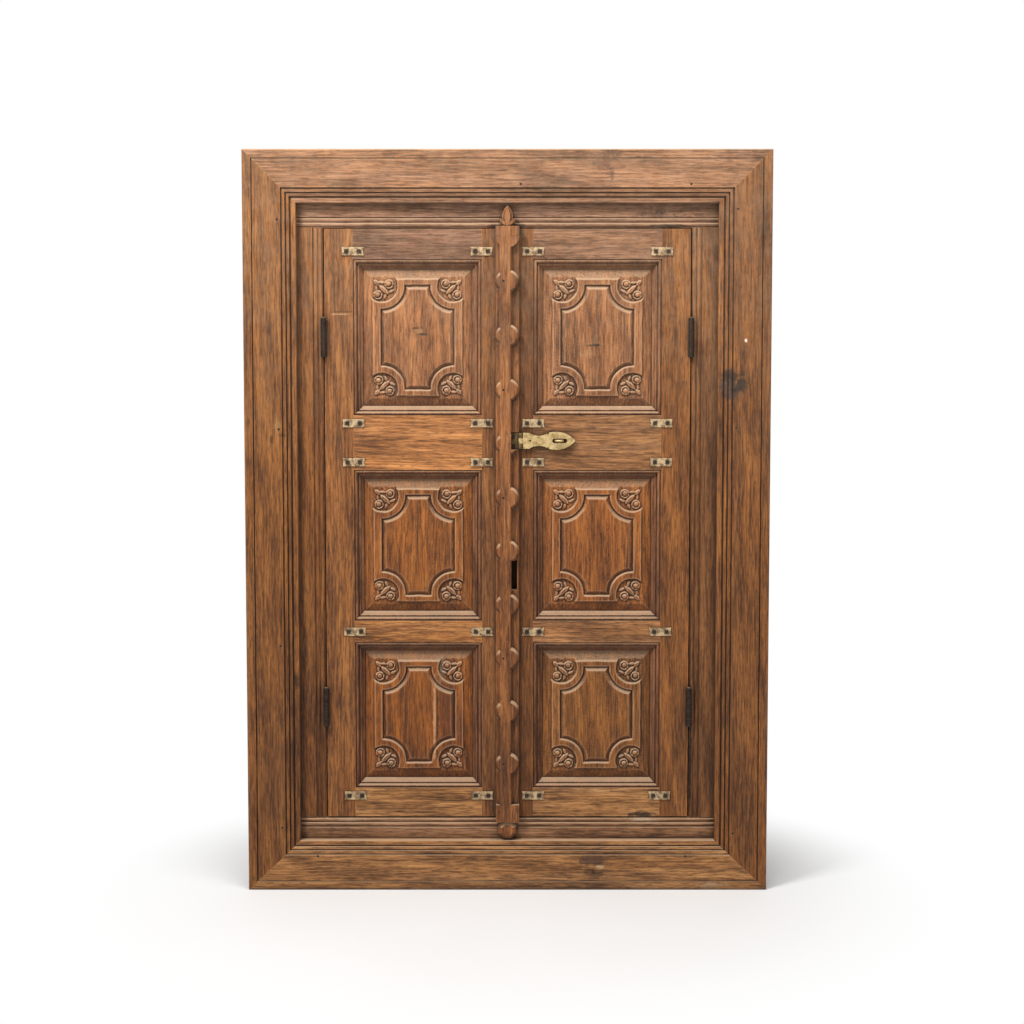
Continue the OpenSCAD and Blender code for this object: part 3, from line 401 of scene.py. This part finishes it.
@dataclass(frozen=True)
class TeakFinish:
    """Aged teak: tones, dust, dirt, painted shade and painted light, and the marks that one board bears."""

    grain: Grain
    tone: Tone
    seed: float
    dust: float = 0.7
    dirt: float = 0.8
    shine: float = 0.5
    marks: tuple[Mark, ...] = ()
    carved: bool = False

    def material(self, name: str, fx: Effects) -> bpy.types.Material:
        """Builds the material.

        Args:
            name: The material's name.
            fx: The shared effects.

        Returns:
            The material.
        """
        mat = bpy.data.materials.new(name)
        mat.use_nodes = True
        mat.node_tree.nodes.clear()
        g = Graph(mat.node_tree)
        place = g.add("ShaderNodeTexCoord").outputs["Object"]
        along = place
        if self.grain is Grain.LEVEL:
            part = g.add("ShaderNodeSeparateXYZ", None, i0=place)
            along = g.add("ShaderNodeCombineXYZ", i0=part.outputs["Z"], i1=part.outputs["Y"],
                          i2=part.outputs["X"]).outputs[0]
        wood = g.add("ShaderNodeGroup", {"node_tree": fx.grain}, Vector=along, Seed=self.seed)
        tone = g.weigh((wood.outputs["Streak"], 0.72), (wood.outputs["Bands"], 0.08), (wood.outputs["Blotch"], 0.2))
        ramp = g.add("ShaderNodeValToRGB", None, Fac=tone)
        while len(ramp.color_ramp.elements) < len(GRAIN_STOPS):
            ramp.color_ramp.elements.new(0.5)
        for element, (at, *shares) in zip(ramp.color_ramp.elements, GRAIN_STOPS, strict=True):
            element.position = at
            element.color = linear(shade(self.tone, shares))
        colour = ramp.outputs["Color"]
        pore = g.ramp(wood.outputs["Pores"], 0.42, 0.3)
        colour = g.mix(g.math("MULTIPLY", pore, 0.75), colour, linear(PORE))
        fleck = g.math("MULTIPLY", g.ramp(wood.outputs["Flecks"], 0.46, 0.34), 0.48)
        colour = g.mix(fleck, colour, linear(FLECK))
        pale = g.math("MULTIPLY", g.ramp(wood.outputs["Flecks"], 0.54, 0.68), 0.32)
        colour = g.mix(pale, colour, linear(shade(self.tone, PALE_FLECK)))
        grey = g.math("MULTIPLY", g.ramp(wood.outputs["Tint"], 0.44, 0.66), 0.4)
        colour = g.mix(grey, colour, (0.84, 0.95, 1.3, 1.0), "MULTIPLY")
        for m in self.marks:
            spot = g.add("ShaderNodeGroup", {"node_tree": fx.mark}, Vector=place, Soft=m.soft,
                         Centre=(m.x * MM, 0.0, m.z * MM), Size=(m.rx * MM, 1.0, m.rz * MM))
            colour = g.mix(g.math("MULTIPLY", spot.outputs["Mask"], m.strength), colour, linear(m.tone))
        if self.carved:
            # painted shade with dirt in the carving's cuts, painted highlight with rubbing on its ridges
            cut = g.add("ShaderNodeAttribute", {"attribute_name": "relief"}).outputs["Fac"]
            colour = g.mix(g.math("MULTIPLY", cut, -0.85, True), colour, linear(CUT_DIRT_AND_SHADE))
            colour = g.mix(g.math("MULTIPLY", cut, 0.5, True), colour, linear(RUBBED_AND_HIGHLIGHT))
        # dirt, dust and rubbed edges, with painted shade, painted light and painted highlight, from the shared group
        worn = g.add("ShaderNodeGroup", {"node_tree": fx.dust}, Color=colour, Vector=place,
                     Dust=self.dust, Dirt=self.dirt)
        rough = g.math("ADD", 0.84 - 0.3 * self.shine, g.math("MULTIPLY", worn.outputs["Amount"], 0.3), True)
        dents = g.add("ShaderNodeTexNoise", None, Vector=place, Scale=DENTS, Detail=3.0)
        relief = g.weigh((wood.outputs["Height"], 0.7), (dents.outputs["Fac"], 0.9))
        bump = g.add("ShaderNodeBump", None, Height=relief, Strength=0.75, Distance=0.0013)
        bsdf = g.add("ShaderNodeBsdfPrincipled", None, Base_Color=worn.outputs["Color"], Roughness=rough,
                     Normal=bump.outputs[0], Specular_IOR_Level=0.3)
        g.add("ShaderNodeOutputMaterial", None, Surface=bsdf.outputs[0])
        return mat


@dataclass(frozen=True)
class MetalFinish:
    """Old metal: a bright tone on worn places, a dull one in tarnished patches, and its roughness."""

    bright: Tone
    dull: Tone
    metallic: float
    roughness: float
    dust: float = 0.25
    spots: float = 0.5

    def material(self, name: str, fx: Effects) -> bpy.types.Material:
        """Builds the material.

        Args:
            name: The material's name.
            fx: The shared effects.

        Returns:
            The material.
        """
        mat = bpy.data.materials.new(name)
        mat.use_nodes = True
        mat.node_tree.nodes.clear()
        g = Graph(mat.node_tree)
        place = g.add("ShaderNodeTexCoord").outputs["Object"]
        cloud = g.add("ShaderNodeTexNoise", None, Vector=place, Scale=160.0, Detail=6.0, Roughness=0.7)
        fine = g.add("ShaderNodeTexNoise", None, Vector=place, Scale=900.0, Detail=3.0)
        mix = g.weigh((cloud.outputs["Fac"], 0.75), (fine.outputs["Fac"], 0.25))
        tarnish = g.math("MULTIPLY", g.ramp(mix, 0.4, 0.68), self.spots * 2, True)
        colour = g.mix(tarnish, linear(self.bright), linear(self.dull))
        # dirt, dust and rubbed edges, with painted shade, painted light and painted highlight, from the shared group
        worn = g.add("ShaderNodeGroup", {"node_tree": fx.dust}, Color=colour, Vector=place, Dust=self.dust, Dirt=0.7)
        rough = g.math("ADD", self.roughness, g.math("MULTIPLY", cloud.outputs["Fac"], 0.25), True)
        bump = g.add("ShaderNodeBump", None, Height=mix, Strength=0.4, Distance=0.0006)
        metal = g.math("SUBTRACT", self.metallic, worn.outputs["Amount"], True)
        bsdf = g.add("ShaderNodeBsdfPrincipled", None, Base_Color=worn.outputs["Color"], Roughness=rough,
                     Metallic=metal, Normal=bump.outputs[0])
        g.add("ShaderNodeOutputMaterial", None, Surface=bsdf.outputs[0])
        return mat


@dataclass
class Dresser:
    """Gives CAD nodes their worn edges and finishes."""

    fx: Effects

    def wear(self, node: str, width: float, segments: int = 2) -> None:
        """Softens the edges of a CAD node with modifiers.

        Args:
            node: The CAD node's name.
            width: Width of the worn edge in millimetres.
            segments: Number of steps across the edge.
        """
        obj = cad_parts[node]
        weld = obj.modifiers.new("weld", "WELD")
        weld.merge_threshold = 1e-6
        flat = obj.modifiers.new("merge flats", "DECIMATE")
        flat.decimate_type = "DISSOLVE"
        flat.angle_limit = math.radians(0.6)
        edge = obj.modifiers.new("worn edges", "BEVEL")
        edge.width = width * MM
        edge.segments = segments
        edge.limit_method = "ANGLE"
        edge.angle_limit = math.radians(35)
        edge.harden_normals = False

    def paint(self, node: str, finish: TeakFinish | MetalFinish, slot: str) -> None:
        """Puts a finish on a CAD node.

        Args:
            node: The CAD node's name.
            finish: The finish.
            slot: The record's material slot; not used.
        """
        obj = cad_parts[node]
        obj.data.materials.clear()
        obj.data.materials.append(finish.material(node, self.fx))
        LOG.info("%s dressed", node)


IRON = MetalFinish((52, 40, 32), (26, 20, 16), 0.55, 0.5, dust=0.2, spots=0.6)
STRAP = MetalFinish((206, 178, 136), (122, 97, 70), 0.42, 0.48, dust=0.4, spots=0.9)
HASP = MetalFinish((228, 200, 144), (146, 114, 64), 0.8, 0.36, dust=0.15, spots=0.5)
# painted shade: a darker copy of the hasp's brass for the eye plate and its knuckles, which sit in shade
SHADED_EYE = MetalFinish((132, 108, 68), (62, 46, 26), 0.65, 0.45, dust=0.15, spots=0.6)
NAIL = MetalFinish((60, 46, 36), (24, 18, 14), 0.4, 0.6, dust=0.1)


@dataclass
class Frame:
    """The casing and the lining with their nails and the jamb halves of the hinges."""

    dresser: Dresser
    tones: dict[str, Tone] = field(default_factory=lambda: {
        "casing_top": (136, 94, 63), "casing_bottom": (156, 108, 63), "casing_left": (124, 77, 34),
        "casing_right": (122, 75, 34), "head": (137, 99, 73), "sill": (142, 100, 66),
        "jamb_left": (120, 73, 31), "jamb_right": (111, 70, 35)})

    def marks(self, node: str) -> tuple[Mark, ...]:
        """The knots and stains of a board.

        Args:
            node: The CAD node's name.

        Returns:
            Its marks.
        """
        return {
            "casing_right": (Mark(316, 820, 30, 190, 0.14, 0.95, WEATHERED),
                             Mark(282, 650, 14, 24, 0.9, 0.5, (58, 44, 40)),
                             Mark(297.5, 653, 10, 12, 0.95, 0.5, (32, 25, 21)),
                             Mark(285, 664, 19, 9, 0.75, 0.6), Mark(286.5, 646, 4, 3.4, 0.95, 0.5),
                             *scar(283, 652, 11, 15, 12, 8, (118, 104, 102)),
                             Mark(302.6, 708.6, 2, 2.8, 0.9, 0.4, (232, 212, 196))),
            "casing_left": (Mark(-300, 583, 3.5, 8, 0.6, 0.7), Mark(-287, 588, 6, 3, 0.5, 0.7),
                            Mark(-293, 602, 9, 12, 0.35, 0.9, (176, 134, 84)), Mark(-272, 273, 5, 12, 0.7),
                            Mark(-304, 150, 27, 160, 0.22, 0.95, WEATHERED)),
            "casing_bottom": (Mark(110, 39, 25, 9, 0.8, 0.6, (70, 48, 38)),
                              Mark(119, 30, 6, 3, 0.8, 0.5, (186, 156, 122)),
                              Mark(116, 19, 16, 9, 0.6, 0.8), Mark(106, 25, 11, 5, 0.6, 0.8),
                              Mark(263, 6, 28, 5, 0.55, 0.8, (190, 160, 126))),
            "casing_top": (Mark(127, 942, 24, 6, 0.75, 0.8, (70, 44, 32)),
                           Mark(118, 928, 16, 7, 0.6, 0.8, (80, 50, 36)),
                           Mark(132, 917, 3, 12, 0.6, 0.6, (84, 50, 38)), *scar(122, 934, 14, 17, 26, 5)),
            "jamb_right": (Mark(237, 168, 2.6, 85, 0.95, 0.6),),
            "head": (Mark(188, 869, 30, 11, 0.65, 0.8, (74, 56, 48)), Mark(17, 855, 10, 6, 0.9, 0.6),
                     Mark(-18, 854, 8, 4, 0.75, 0.6), Mark(204, 854, 31, 2.6, 0.95, 0.4),
                     *scar(205, 868, 36, 6, 20, 9, (150, 124, 108))),
            "sill": (Mark(177, 89, 28, 6, 0.7, 0.8, (204, 178, 150)), Mark(38, 90, 19, 4, 0.8, 0.7, (50, 36, 28)),
                     Mark(-207, 89, 24, 4, 0.5, 0.8, (190, 160, 130))),
        }.get(node, ())

    def dress(self) -> None:
        """Wears and paints every piece of the frame."""
        for i, (node, tone) in enumerate(self.tones.items()):
            level = node in ("casing_top", "casing_bottom", "head", "sill")
            finish = TeakFinish(Grain.LEVEL if level else Grain.UPRIGHT, tone, 1.3 + 2.17 * i, marks=self.marks(node),
                                dust=0.75 if node == "casing_top" else 0.7)
            self.dresser.wear(node, 0.8)
            self.dresser.paint(node, finish, "teak_casing" if node.startswith("casing") else "teak_lining")
        self.dresser.paint("casing_nails", NAIL, "black_iron")
        for side in ("left", "right"):
            for level in ("lower", "upper"):
                self.dresser.paint(f"hinge_{side}_{level}_jamb", IRON, "black_iron")
                self.dresser.paint(f"pin_{side}_{level}", IRON, "black_iron")
        self.dresser.paint("jamb_screws", IRON, "black_iron")


@dataclass
class CarvedPanel:
    """A carved panel as a fine relief, in place of its CAD node."""

    node: str
    body: str
    seed: int
    mould: float = 12.0
    bevel: float = 12.5
    line_side: float = 12.0
    line_end: float = 9.5
    scoop: float = 30.5
    band: float = 10.5
    tongue: float = 6.0
    step: float = 0.72
    margin_at: float = -10.0
    bevel_rise: float = 4.0
    field_rise: float = 2.0
    groove_depth: float = 3.0
    ground_at: float = -6.8
    highest: float = -3.75
    rim_at: float = -10.2
    sight_lap: float = 1.5

    def waves(self, x: np.ndarray, y: np.ndarray, size: float, salt: int) -> np.ndarray:
        """Smooth random unevenness of about unit height.

        Args:
            x: Places across, in millimetres.
            y: Places up, in millimetres.
            size: Size of the bumps in millimetres.
            salt: Number that makes this pattern its own.

        Returns:
            The unevenness at each place.
        """
        rng = np.random.default_rng(self.seed * 101 + salt)
        total = np.zeros_like(x)
        for _ in range(9):
            a, k, p = rng.uniform(0, math.tau), rng.uniform(0.6, 1.5) * math.tau / size, rng.uniform(0, math.tau)
            total += np.sin((x * math.cos(a) + y * math.sin(a)) * k + p)
        return total / 4.2

    def leaf(self, p: np.ndarray, q: np.ndarray, at: tuple[float, ...]) -> np.ndarray:
        """Height of one carved leaf above the ground.

        Args:
            p: Places across from the field's corner.
            q: Places up from the field's corner.
            at: The leaf's middle, length, width, turn in degrees and height.

        Returns:
            The leaf's height at each place.
        """
        cx, cy, length, width, turn, tall = at
        c, s = math.cos(math.radians(turn)), math.sin(math.radians(turn))
        u = (p - cx) * c + (q - cy) * s
        v = (q - cy) * c - (p - cx) * s
        r = (length**2 + width**2) / (4 * width)
        half = np.sqrt(np.maximum(r**2 - u**2, 0)) - (r - width / 2)
        t = np.clip(1 - (v / np.maximum(half, 1e-3)) ** 2, 0, 1) * (half > 0.05)
        vein = 0.6 * np.exp(-((v / 0.6) ** 2)) * np.clip(half / (width / 2), 0, 1)
        return np.maximum(tall * t**0.55 * (0.75 + 0.25 * half / (width / 2)) - vein * (t > 0), 0) * (t > 0)

    def bud(self, p: np.ndarray, q: np.ndarray, at: tuple[float, float], radius: float) -> np.ndarray:
        """Height of a carved bud: petals round a ring and an eye.

        Args:
            p: Places across from the field's corner.
            q: Places up from the field's corner.
            at: The bud's middle.
            radius: Its radius.

        Returns:
            The bud's height at each place.
        """
        d = np.hypot(p - at[0], q - at[1]) / radius
        angle = np.arctan2(q - at[1], p - at[0])
        ring = 2.1 * np.exp(-(((d - 0.82) / 0.15) ** 4)) * (1 + 0.16 * np.cos(7 * angle))
        lean = np.hypot(p - at[0] + 0.1 * radius, q - at[1] + 0.1 * radius) / radius
        eye = 2.9 * np.sqrt(np.clip(1 - (lean / 0.66) ** 2, 0, 1))
        return np.maximum(ring, eye) * (d < 1.02)

    def height(self, x: np.ndarray, y: np.ndarray, half_w: float, half_h: float) -> np.ndarray:
        """Height of the carving below the leaf's face.

        Args:
            x: Places across from the panel's middle.
            y: Places up from the panel's middle.
            half_w: Half the opening's width.
            half_h: Half the opening's height.

        Returns:
            Heights, all below 0.
        """
        ax, ay = np.abs(x), np.abs(y)
        sx, sy = half_w - self.mould, half_h - self.mould
        px, py = sx - self.bevel, sy - self.bevel
        gx, gy = px - self.line_side, py - self.line_end
        wobble = 0.25 * self.waves(x, y, 60, 1)
        inside = np.minimum(sx - ax, sy - ay)
        h = self.margin_at + self.bevel_rise * np.clip(inside / self.bevel, 0, 1)
        field_in = np.minimum(px - ax, py - ay) + 0.3 * self.waves(x, y, 22, 2)
        h = h + self.field_rise * np.clip(field_in / 1.1 + 0.5, 0, 1)
        corner = np.hypot(ax - gx, ay - gy)
        within = np.minimum(np.minimum(gx - ax, gy - ay), corner - self.scoop) + 0.18 * self.waves(x, y, 15, 3)
        groove = np.minimum((within + 2.0) / 1.1, (3.9 - within) / 4.6)
        h = h - self.groove_depth * np.clip(groove, 0, 1) * (field_in > 0)
        sink = np.clip((self.scoop - self.band - corner + 0.3 * self.waves(x, y, 14, 4)) / 0.9 + 0.5, 0, 1)
        ground = np.minimum(h, self.ground_at + 0.16 * self.waves(x, y, 5, 5))
        h = h * (1 - sink) + ground * sink
        p, q = px - ax, py - ay
        drift = 0.5 * self.waves(np.sign(x) * 40, np.sign(y) * 40, 70, 6)
        p, q = p + drift, q - drift
        sprig = np.zeros_like(x)
        for at in BUDS:
            sprig = np.maximum(sprig, self.bud(p, q, at, BUD_RADIUS))
        for at in LEAVES:
            sprig = np.maximum(sprig, self.leaf(p, q, at))
        h = np.where(sprig > 0.05, np.maximum(h, self.ground_at + sprig * 1.02), h)
        return np.minimum(h + 0.08 * wobble + 0.06 * self.waves(x, y, 4, 7), self.highest)

    def worn(self, h: np.ndarray) -> np.ndarray:
        """Where the carving is rubbed bright with a painted highlight, and where dirt and painted shade lie in it.

        Args:
            h: Heights of the carving in millimetres, on its grid.

        Returns:
            From -1 in the deepest cuts to 1 on the sharpest edges.
        """
        soft = h
        for _ in range(5):
            edge = np.pad(soft, 1, mode="edge")
            soft = (edge[:-2, 1:-1] + edge[2:, 1:-1] + edge[1:-1, :-2] + edge[1:-1, 2:] + soft) / 5
        out = np.clip((h - soft) / 0.55, -1, 1)
        out[:3, :], out[-3:, :], out[:, :3], out[:, -3:] = 0, 0, 0, 0
        return out

    def build(self, finish: TeakFinish, fx: Effects) -> None:
        """Builds the panel, paints it and puts it in its node's place.

        Args:
            finish: The panel's finish.
            fx: The shared effects.
        """
        lo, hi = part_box(self.node)
        cx, cz = (lo.x + hi.x) / 2 / MM, (lo.z + hi.z) / 2 / MM
        half_w, half_h = (hi.x - lo.x) / 2 / MM - self.tongue, (hi.z - lo.z) / 2 / MM - self.tongue
        sight_w, sight_h = half_w - self.mould + self.sight_lap, half_h - self.mould + self.sight_lap
        xs = np.concatenate([[-half_w - self.tongue], np.linspace(-sight_w, sight_w, int(2 * sight_w / self.step)),
                             [half_w + self.tongue]])
        ys = np.concatenate([[-half_h - self.tongue], np.linspace(-sight_h, sight_h, int(2 * sight_h / self.step)),
                             [half_h + self.tongue]])
        gx, gy = np.meshgrid(xs, ys)
        h = self.height(gx, gy, half_w, half_h)
        rim = (np.abs(gx) > half_w - self.mould) | (np.abs(gy) > half_h - self.mould)
        h = np.where(rim, self.rim_at, h)
        rows, cols = gx.shape
        front = np.stack([(gx + cx) * MM, FACE_Y - h * MM, (gy + cz) * MM], -1).reshape(-1, 3)
        ring = [*range(cols), *(r * cols + cols - 1 for r in range(1, rows)),
                *((rows - 1) * cols + c for c in range(cols - 2, -1, -1)),
                *(r * cols for r in range(rows - 2, 0, -1))]
        back = front[ring].copy()
        back[:, 1] = hi.y
        verts = np.concatenate([front, back])
        start = len(front)
        r, c = np.meshgrid(np.arange(rows - 1), np.arange(cols - 1), indexing="ij")
        i = (r * cols + c).ravel()
        faces = np.stack([i, i + 1, i + cols + 1, i + cols], -1).tolist()
        n = len(ring)
        faces += [[ring[(k + 1) % n], ring[k], start + k, start + (k + 1) % n] for k in range(n)]
        faces.append(list(range(start + n - 1, start - 1, -1)))
        mesh = bpy.data.meshes.new(f"{self.node}_carved")
        mesh.from_pydata(verts.tolist(), [], faces)
        mesh.polygons.foreach_set("use_smooth", [True] * (len(faces) - n - 1) + [False] * (n + 1))
        mesh.update()
        # the carving's cuts and ridges, which get painted shade and painted highlight
        wear = mesh.attributes.new("relief", "FLOAT", "POINT")
        wear.data.foreach_set("value", np.concatenate([self.worn(h).ravel(), np.zeros(n)]).astype(np.float32))
        obj = bpy.data.objects.new(f"{self.node}_carved", mesh)
        bpy.context.collection.objects.link(obj)
        mesh.materials.append(finish.material(f"{self.node}_carved", fx))
        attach(obj, self.body)
        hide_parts(self.node)
        LOG.info("%s carved", self.node)


@dataclass
class Leaf:
    """One leaf: stiles, rails, panels, mouldings, straps and its half of the hinges."""

    side: str
    dresser: Dresser
    seed: int

    def tones(self) -> dict[str, Tone]:
        """Tones of the leaf's boards, as the photograph shows them.

        Returns:
            Piece name to sRGB tone.
        """
        if self.side == "left":
            return {"hinge_stile": (132, 83, 40), "meeting_stile": (120, 75, 37), "top_rail": (117, 82, 60),
                    "lock_rail": (159, 104, 57), "lower_rail": (161, 106, 56), "bottom_rail": (153, 106, 61),
                    "panel_top": (140, 90, 52), "panel_middle": (134, 78, 29), "panel_bottom": (131, 74, 23)}
        return {"hinge_stile": (124, 76, 34), "meeting_stile": (107, 63, 25), "top_rail": (129, 90, 61),
                "lock_rail": (140, 96, 57), "lower_rail": (142, 96, 56), "bottom_rail": (152, 106, 62),
                "panel_top": (143, 93, 55), "panel_middle": (137, 80, 32), "panel_bottom": (128, 79, 33)}

    def marks(self, piece: str) -> tuple[Mark, ...]:
        """The knots and stains of a piece.

        Args:
            piece: The piece's name without its side.

        Returns:
            Its marks.
        """
        return {
            ("left", "hinge_stile"): (Mark(-212, 742.5, 17, 1.4, 0.42, 0.5, (206, 160, 122)),
                                      Mark(-212, 745.5, 17, 1, 0.6, 0.6)),
            ("left", "panel_top"): (Mark(-112, 720, 14, 9, 0.55, 0.9, (74, 46, 28)),
                                    Mark(-113, 721, 6.5, 4.5, 0.6, 0.7, (170, 122, 78)),
                                    Mark(-108, 717, 7, 2.2, 0.9, 0.6), Mark(-117, 725, 5, 1.6, 0.7, 0.6)),
            ("right", "panel_top"): (Mark(111, 708, 12, 9, 0.45, 0.9, (104, 78, 50)), Mark(112, 703, 11, 2.2, 0.9, 0.6),
                                     Mark(103, 692, 16, 8, 0.3, 0.9, (178, 136, 92))),
            ("left", "panel_bottom"): (Mark(-79, 222, 14, 58, 0.5, 0.5, (92, 44, 20)),
                                       Mark(-86, 286, 6, 24, 0.6, 0.8, (150, 128, 104)),
                                       Mark(-94.6, 220, 2.4, 62, 0.75, 0.6, (196, 146, 106)),
                                       Mark(-91.4, 222, 1.4, 64, 0.85, 0.6)),
            ("right", "panel_bottom"): (Mark(114, 305, 2, 16, 0.6, 0.7),),
            ("right", "bottom_rail"): (Mark(174, 95.5, 25, 4, 0.9, 0.5),),
        }.get((self.side, piece), ())

    def build(self) -> None:
        """Dresses the leaf's boards and hardware and builds its carved panels."""
        for i, (piece, tone) in enumerate(self.tones().items()):
            node = f"{self.side}_{piece}"
            level = piece.endswith("rail")
            carved = piece.startswith("panel")
            finish = TeakFinish(Grain.LEVEL if level else Grain.UPRIGHT, tone, self.seed + 1.91 * i,
                                marks=self.marks(piece), carved=carved)
            if carved:
                CarvedPanel(node, f"{self.side}_leaf", self.seed * 7 + i).build(finish, self.dresser.fx)
                continue
            self.dresser.wear(node, 0.6)
            self.dresser.paint(node, finish, "teak_leaf")
        for i, level in enumerate(("top", "middle", "bottom")):
            node = f"{self.side}_moulding_{level}"
            self.dresser.wear(node, 0.3)
            tone = (128 - 7 * i, 85 - 7 * i, 54 - 6 * i)  # each moulding darker than the one above it, partly painted shade as the light falls from above
            finish = TeakFinish(Grain.UPRIGHT, tone, self.seed + 23.1 + i, dirt=0.9)
            self.dresser.paint(node, finish, "teak_moulding")
        self.dresser.wear(f"{self.side}_straps", 0.25)
        self.dresser.paint(f"{self.side}_straps", STRAP, "strap_brass")
        self.dresser.wear(f"{self.side}_strap_nails", 0.5)
        self.dresser.paint(f"{self.side}_strap_nails", NAIL, "black_iron")
        for level in ("lower", "upper"):
            self.dresser.paint(f"hinge_{self.side}_{level}_leaf", IRON, "black_iron")
        self.dresser.paint(f"{self.side}_screws", IRON, "black_iron")


@dataclass
class Closing:
    """The astragal and the brass hasp with its eye, pin and staple."""

    dresser: Dresser

    def build(self) -> None:
        """Dresses the pieces that close the door."""
        self.dresser.wear("astragal", 0.8)
        worn = (Mark(-3, 185, 30, 125, 0.2, 0.95, WEATHERED),)
        finish = TeakFinish(Grain.UPRIGHT, (130, 80, 40), 47.3, dirt=0.95, marks=worn)
        self.dresser.paint("astragal", finish, "teak_astragal")
        self.dresser.paint("astragal_nails", NAIL, "black_iron")
        for node in ("hasp", "hasp_eye", "staple"):
            self.dresser.wear(node, 0.35)
            # the eye plate takes the darker brass as painted shade
            self.dresser.paint(node, SHADED_EYE if node == "hasp_eye" else HASP, "hasp_brass")
        self.dresser.paint("hasp_pin", IRON, "hasp_brass")
        self.dresser.paint("hasp_eye_nails", IRON, "black_iron")


@dataclass(frozen=True)
class Lamp:
    """A square soft light: its name, place and size in metres, power in watts and target."""

    name: str
    at: Point
    size: float
    power: float
    target: Point = (0.0, 0.0, 0.5)


@dataclass
class Studio:
    """Camera, pale floor and soft light."""

    lamps: tuple[Lamp, ...] = (Lamp("key", (-1.3, -1.5, 2.7), 0.65, 68.0), Lamp("top", (0.2, -0.75, 2.5), 0.8, 26.0))
    aim: Point = (0.0058, 0.0, 0.4889)
    distance: float = 2.304
    elevation: float = 4.0
    fov: float = 32.0
    fill: float = 0.42
    floor_half: float = 40.0
    shadow_from: float = 0.3
    shadow_to: float = 0.58

    def camera(self) -> None:
        """Places the camera at the photograph's angle."""
        cam = bpy.data.cameras.new("camera")
        cam.sensor_width = 36.0
        cam.angle = math.radians(self.fov)
        obj = bpy.data.objects.new("camera", cam)
        bpy.context.collection.objects.link(obj)
        e = math.radians(self.elevation)
        aim = Vector(self.aim)
        obj.location = aim + Vector((0, -math.cos(e), math.sin(e))) * self.distance
        obj.rotation_euler = (aim - obj.location).to_track_quat("-Z", "Y").to_euler()
        bpy.context.scene.camera = obj

    def light(self, lamp: Lamp) -> None:
        """Adds one soft light.

        Args:
            lamp: The light.
        """
        data = bpy.data.lights.new(lamp.name, "AREA")
        data.energy = lamp.power
        data.shape = "SQUARE"
        data.size = lamp.size
        obj = bpy.data.objects.new(lamp.name, data)
        bpy.context.collection.objects.link(obj)
        obj.location = lamp.at
        obj.rotation_euler = (Vector(lamp.target) - Vector(lamp.at)).to_track_quat("-Z", "Y").to_euler()

    def floor(self) -> None:
        """Adds the pale floor, which turns plain white away from the door, and the bright surroundings."""
        mesh = bpy.data.meshes.new("floor")
        h = self.floor_half
        mesh.from_pydata([(-h, -h, 0), (h, -h, 0), (h, h, 0), (-h, h, 0)], [], [(0, 1, 2, 3)])
        obj = bpy.data.objects.new("floor", mesh)
        bpy.context.collection.objects.link(obj)
        mat = bpy.data.materials.new("pale floor")
        mat.use_nodes = True
        mat.node_tree.nodes.clear()
        g = Graph(mat.node_tree)
        place = g.add("ShaderNodeTexCoord").outputs["Object"]
        soft = g.add("ShaderNodeTexNoise", None, Vector=place, Scale=3.0, Detail=2.0)
        colour = g.mix(soft.outputs["Fac"], linear((222, 221, 219)), linear((230, 229, 228)))
        bsdf = g.add("ShaderNodeBsdfPrincipled", None, Base_Color=colour, Roughness=0.8)
        glow = g.add("ShaderNodeEmission", None, Color=(1.0, 1.0, 1.0, 1.0), Strength=1.0)
        far = g.add("ShaderNodeVectorMath", {"operation": "LENGTH"}, i0=place).outputs["Value"]
        white = g.ramp(far, self.shadow_from, self.shadow_to)
        blend = g.add("ShaderNodeMixShader", None, i0=white, i1=bsdf.outputs[0], i2=glow.outputs[0])
        g.add("ShaderNodeOutputMaterial", None, Surface=blend.outputs[0])
        mesh.materials.append(mat)
        world = bpy.data.worlds.new("studio")
        world.use_nodes = True
        g = Graph(world.node_tree)
        sky = world.node_tree.nodes["Background"]
        sky.inputs[0].default_value = (1.0, 1.0, 1.0, 1.0)
        seen = g.add("ShaderNodeLightPath").outputs["Is Camera Ray"]
        power = g.math("ADD", g.math("MULTIPLY", seen, 1.0 - self.fill), self.fill)
        world.node_tree.links.new(power, sky.inputs[1])
        bpy.context.scene.world = world

    def build(self) -> None:
        """Builds the whole studio."""
        self.camera()
        self.floor()
        for lamp in self.lamps:
            self.light(lamp)
        scene = bpy.context.scene
        scene.view_settings.view_transform = "Standard"
        scene.render.resolution_x = scene.render.resolution_y = 1024


def main() -> None:
    """Builds the studio and dresses the door."""
    logging.basicConfig(level=logging.INFO, format="%(name)s: %(message)s")
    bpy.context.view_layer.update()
    Studio().build()
    dresser = Dresser(Effects())
    Frame(dresser).dress()
    LOG.info("frame dressed")
    Leaf("left", dresser, 3).build()
    Leaf("right", dresser, 11).build()
    LOG.info("leaves built")
    Closing(dresser).build()


if __name__ == "__main__":
    main()
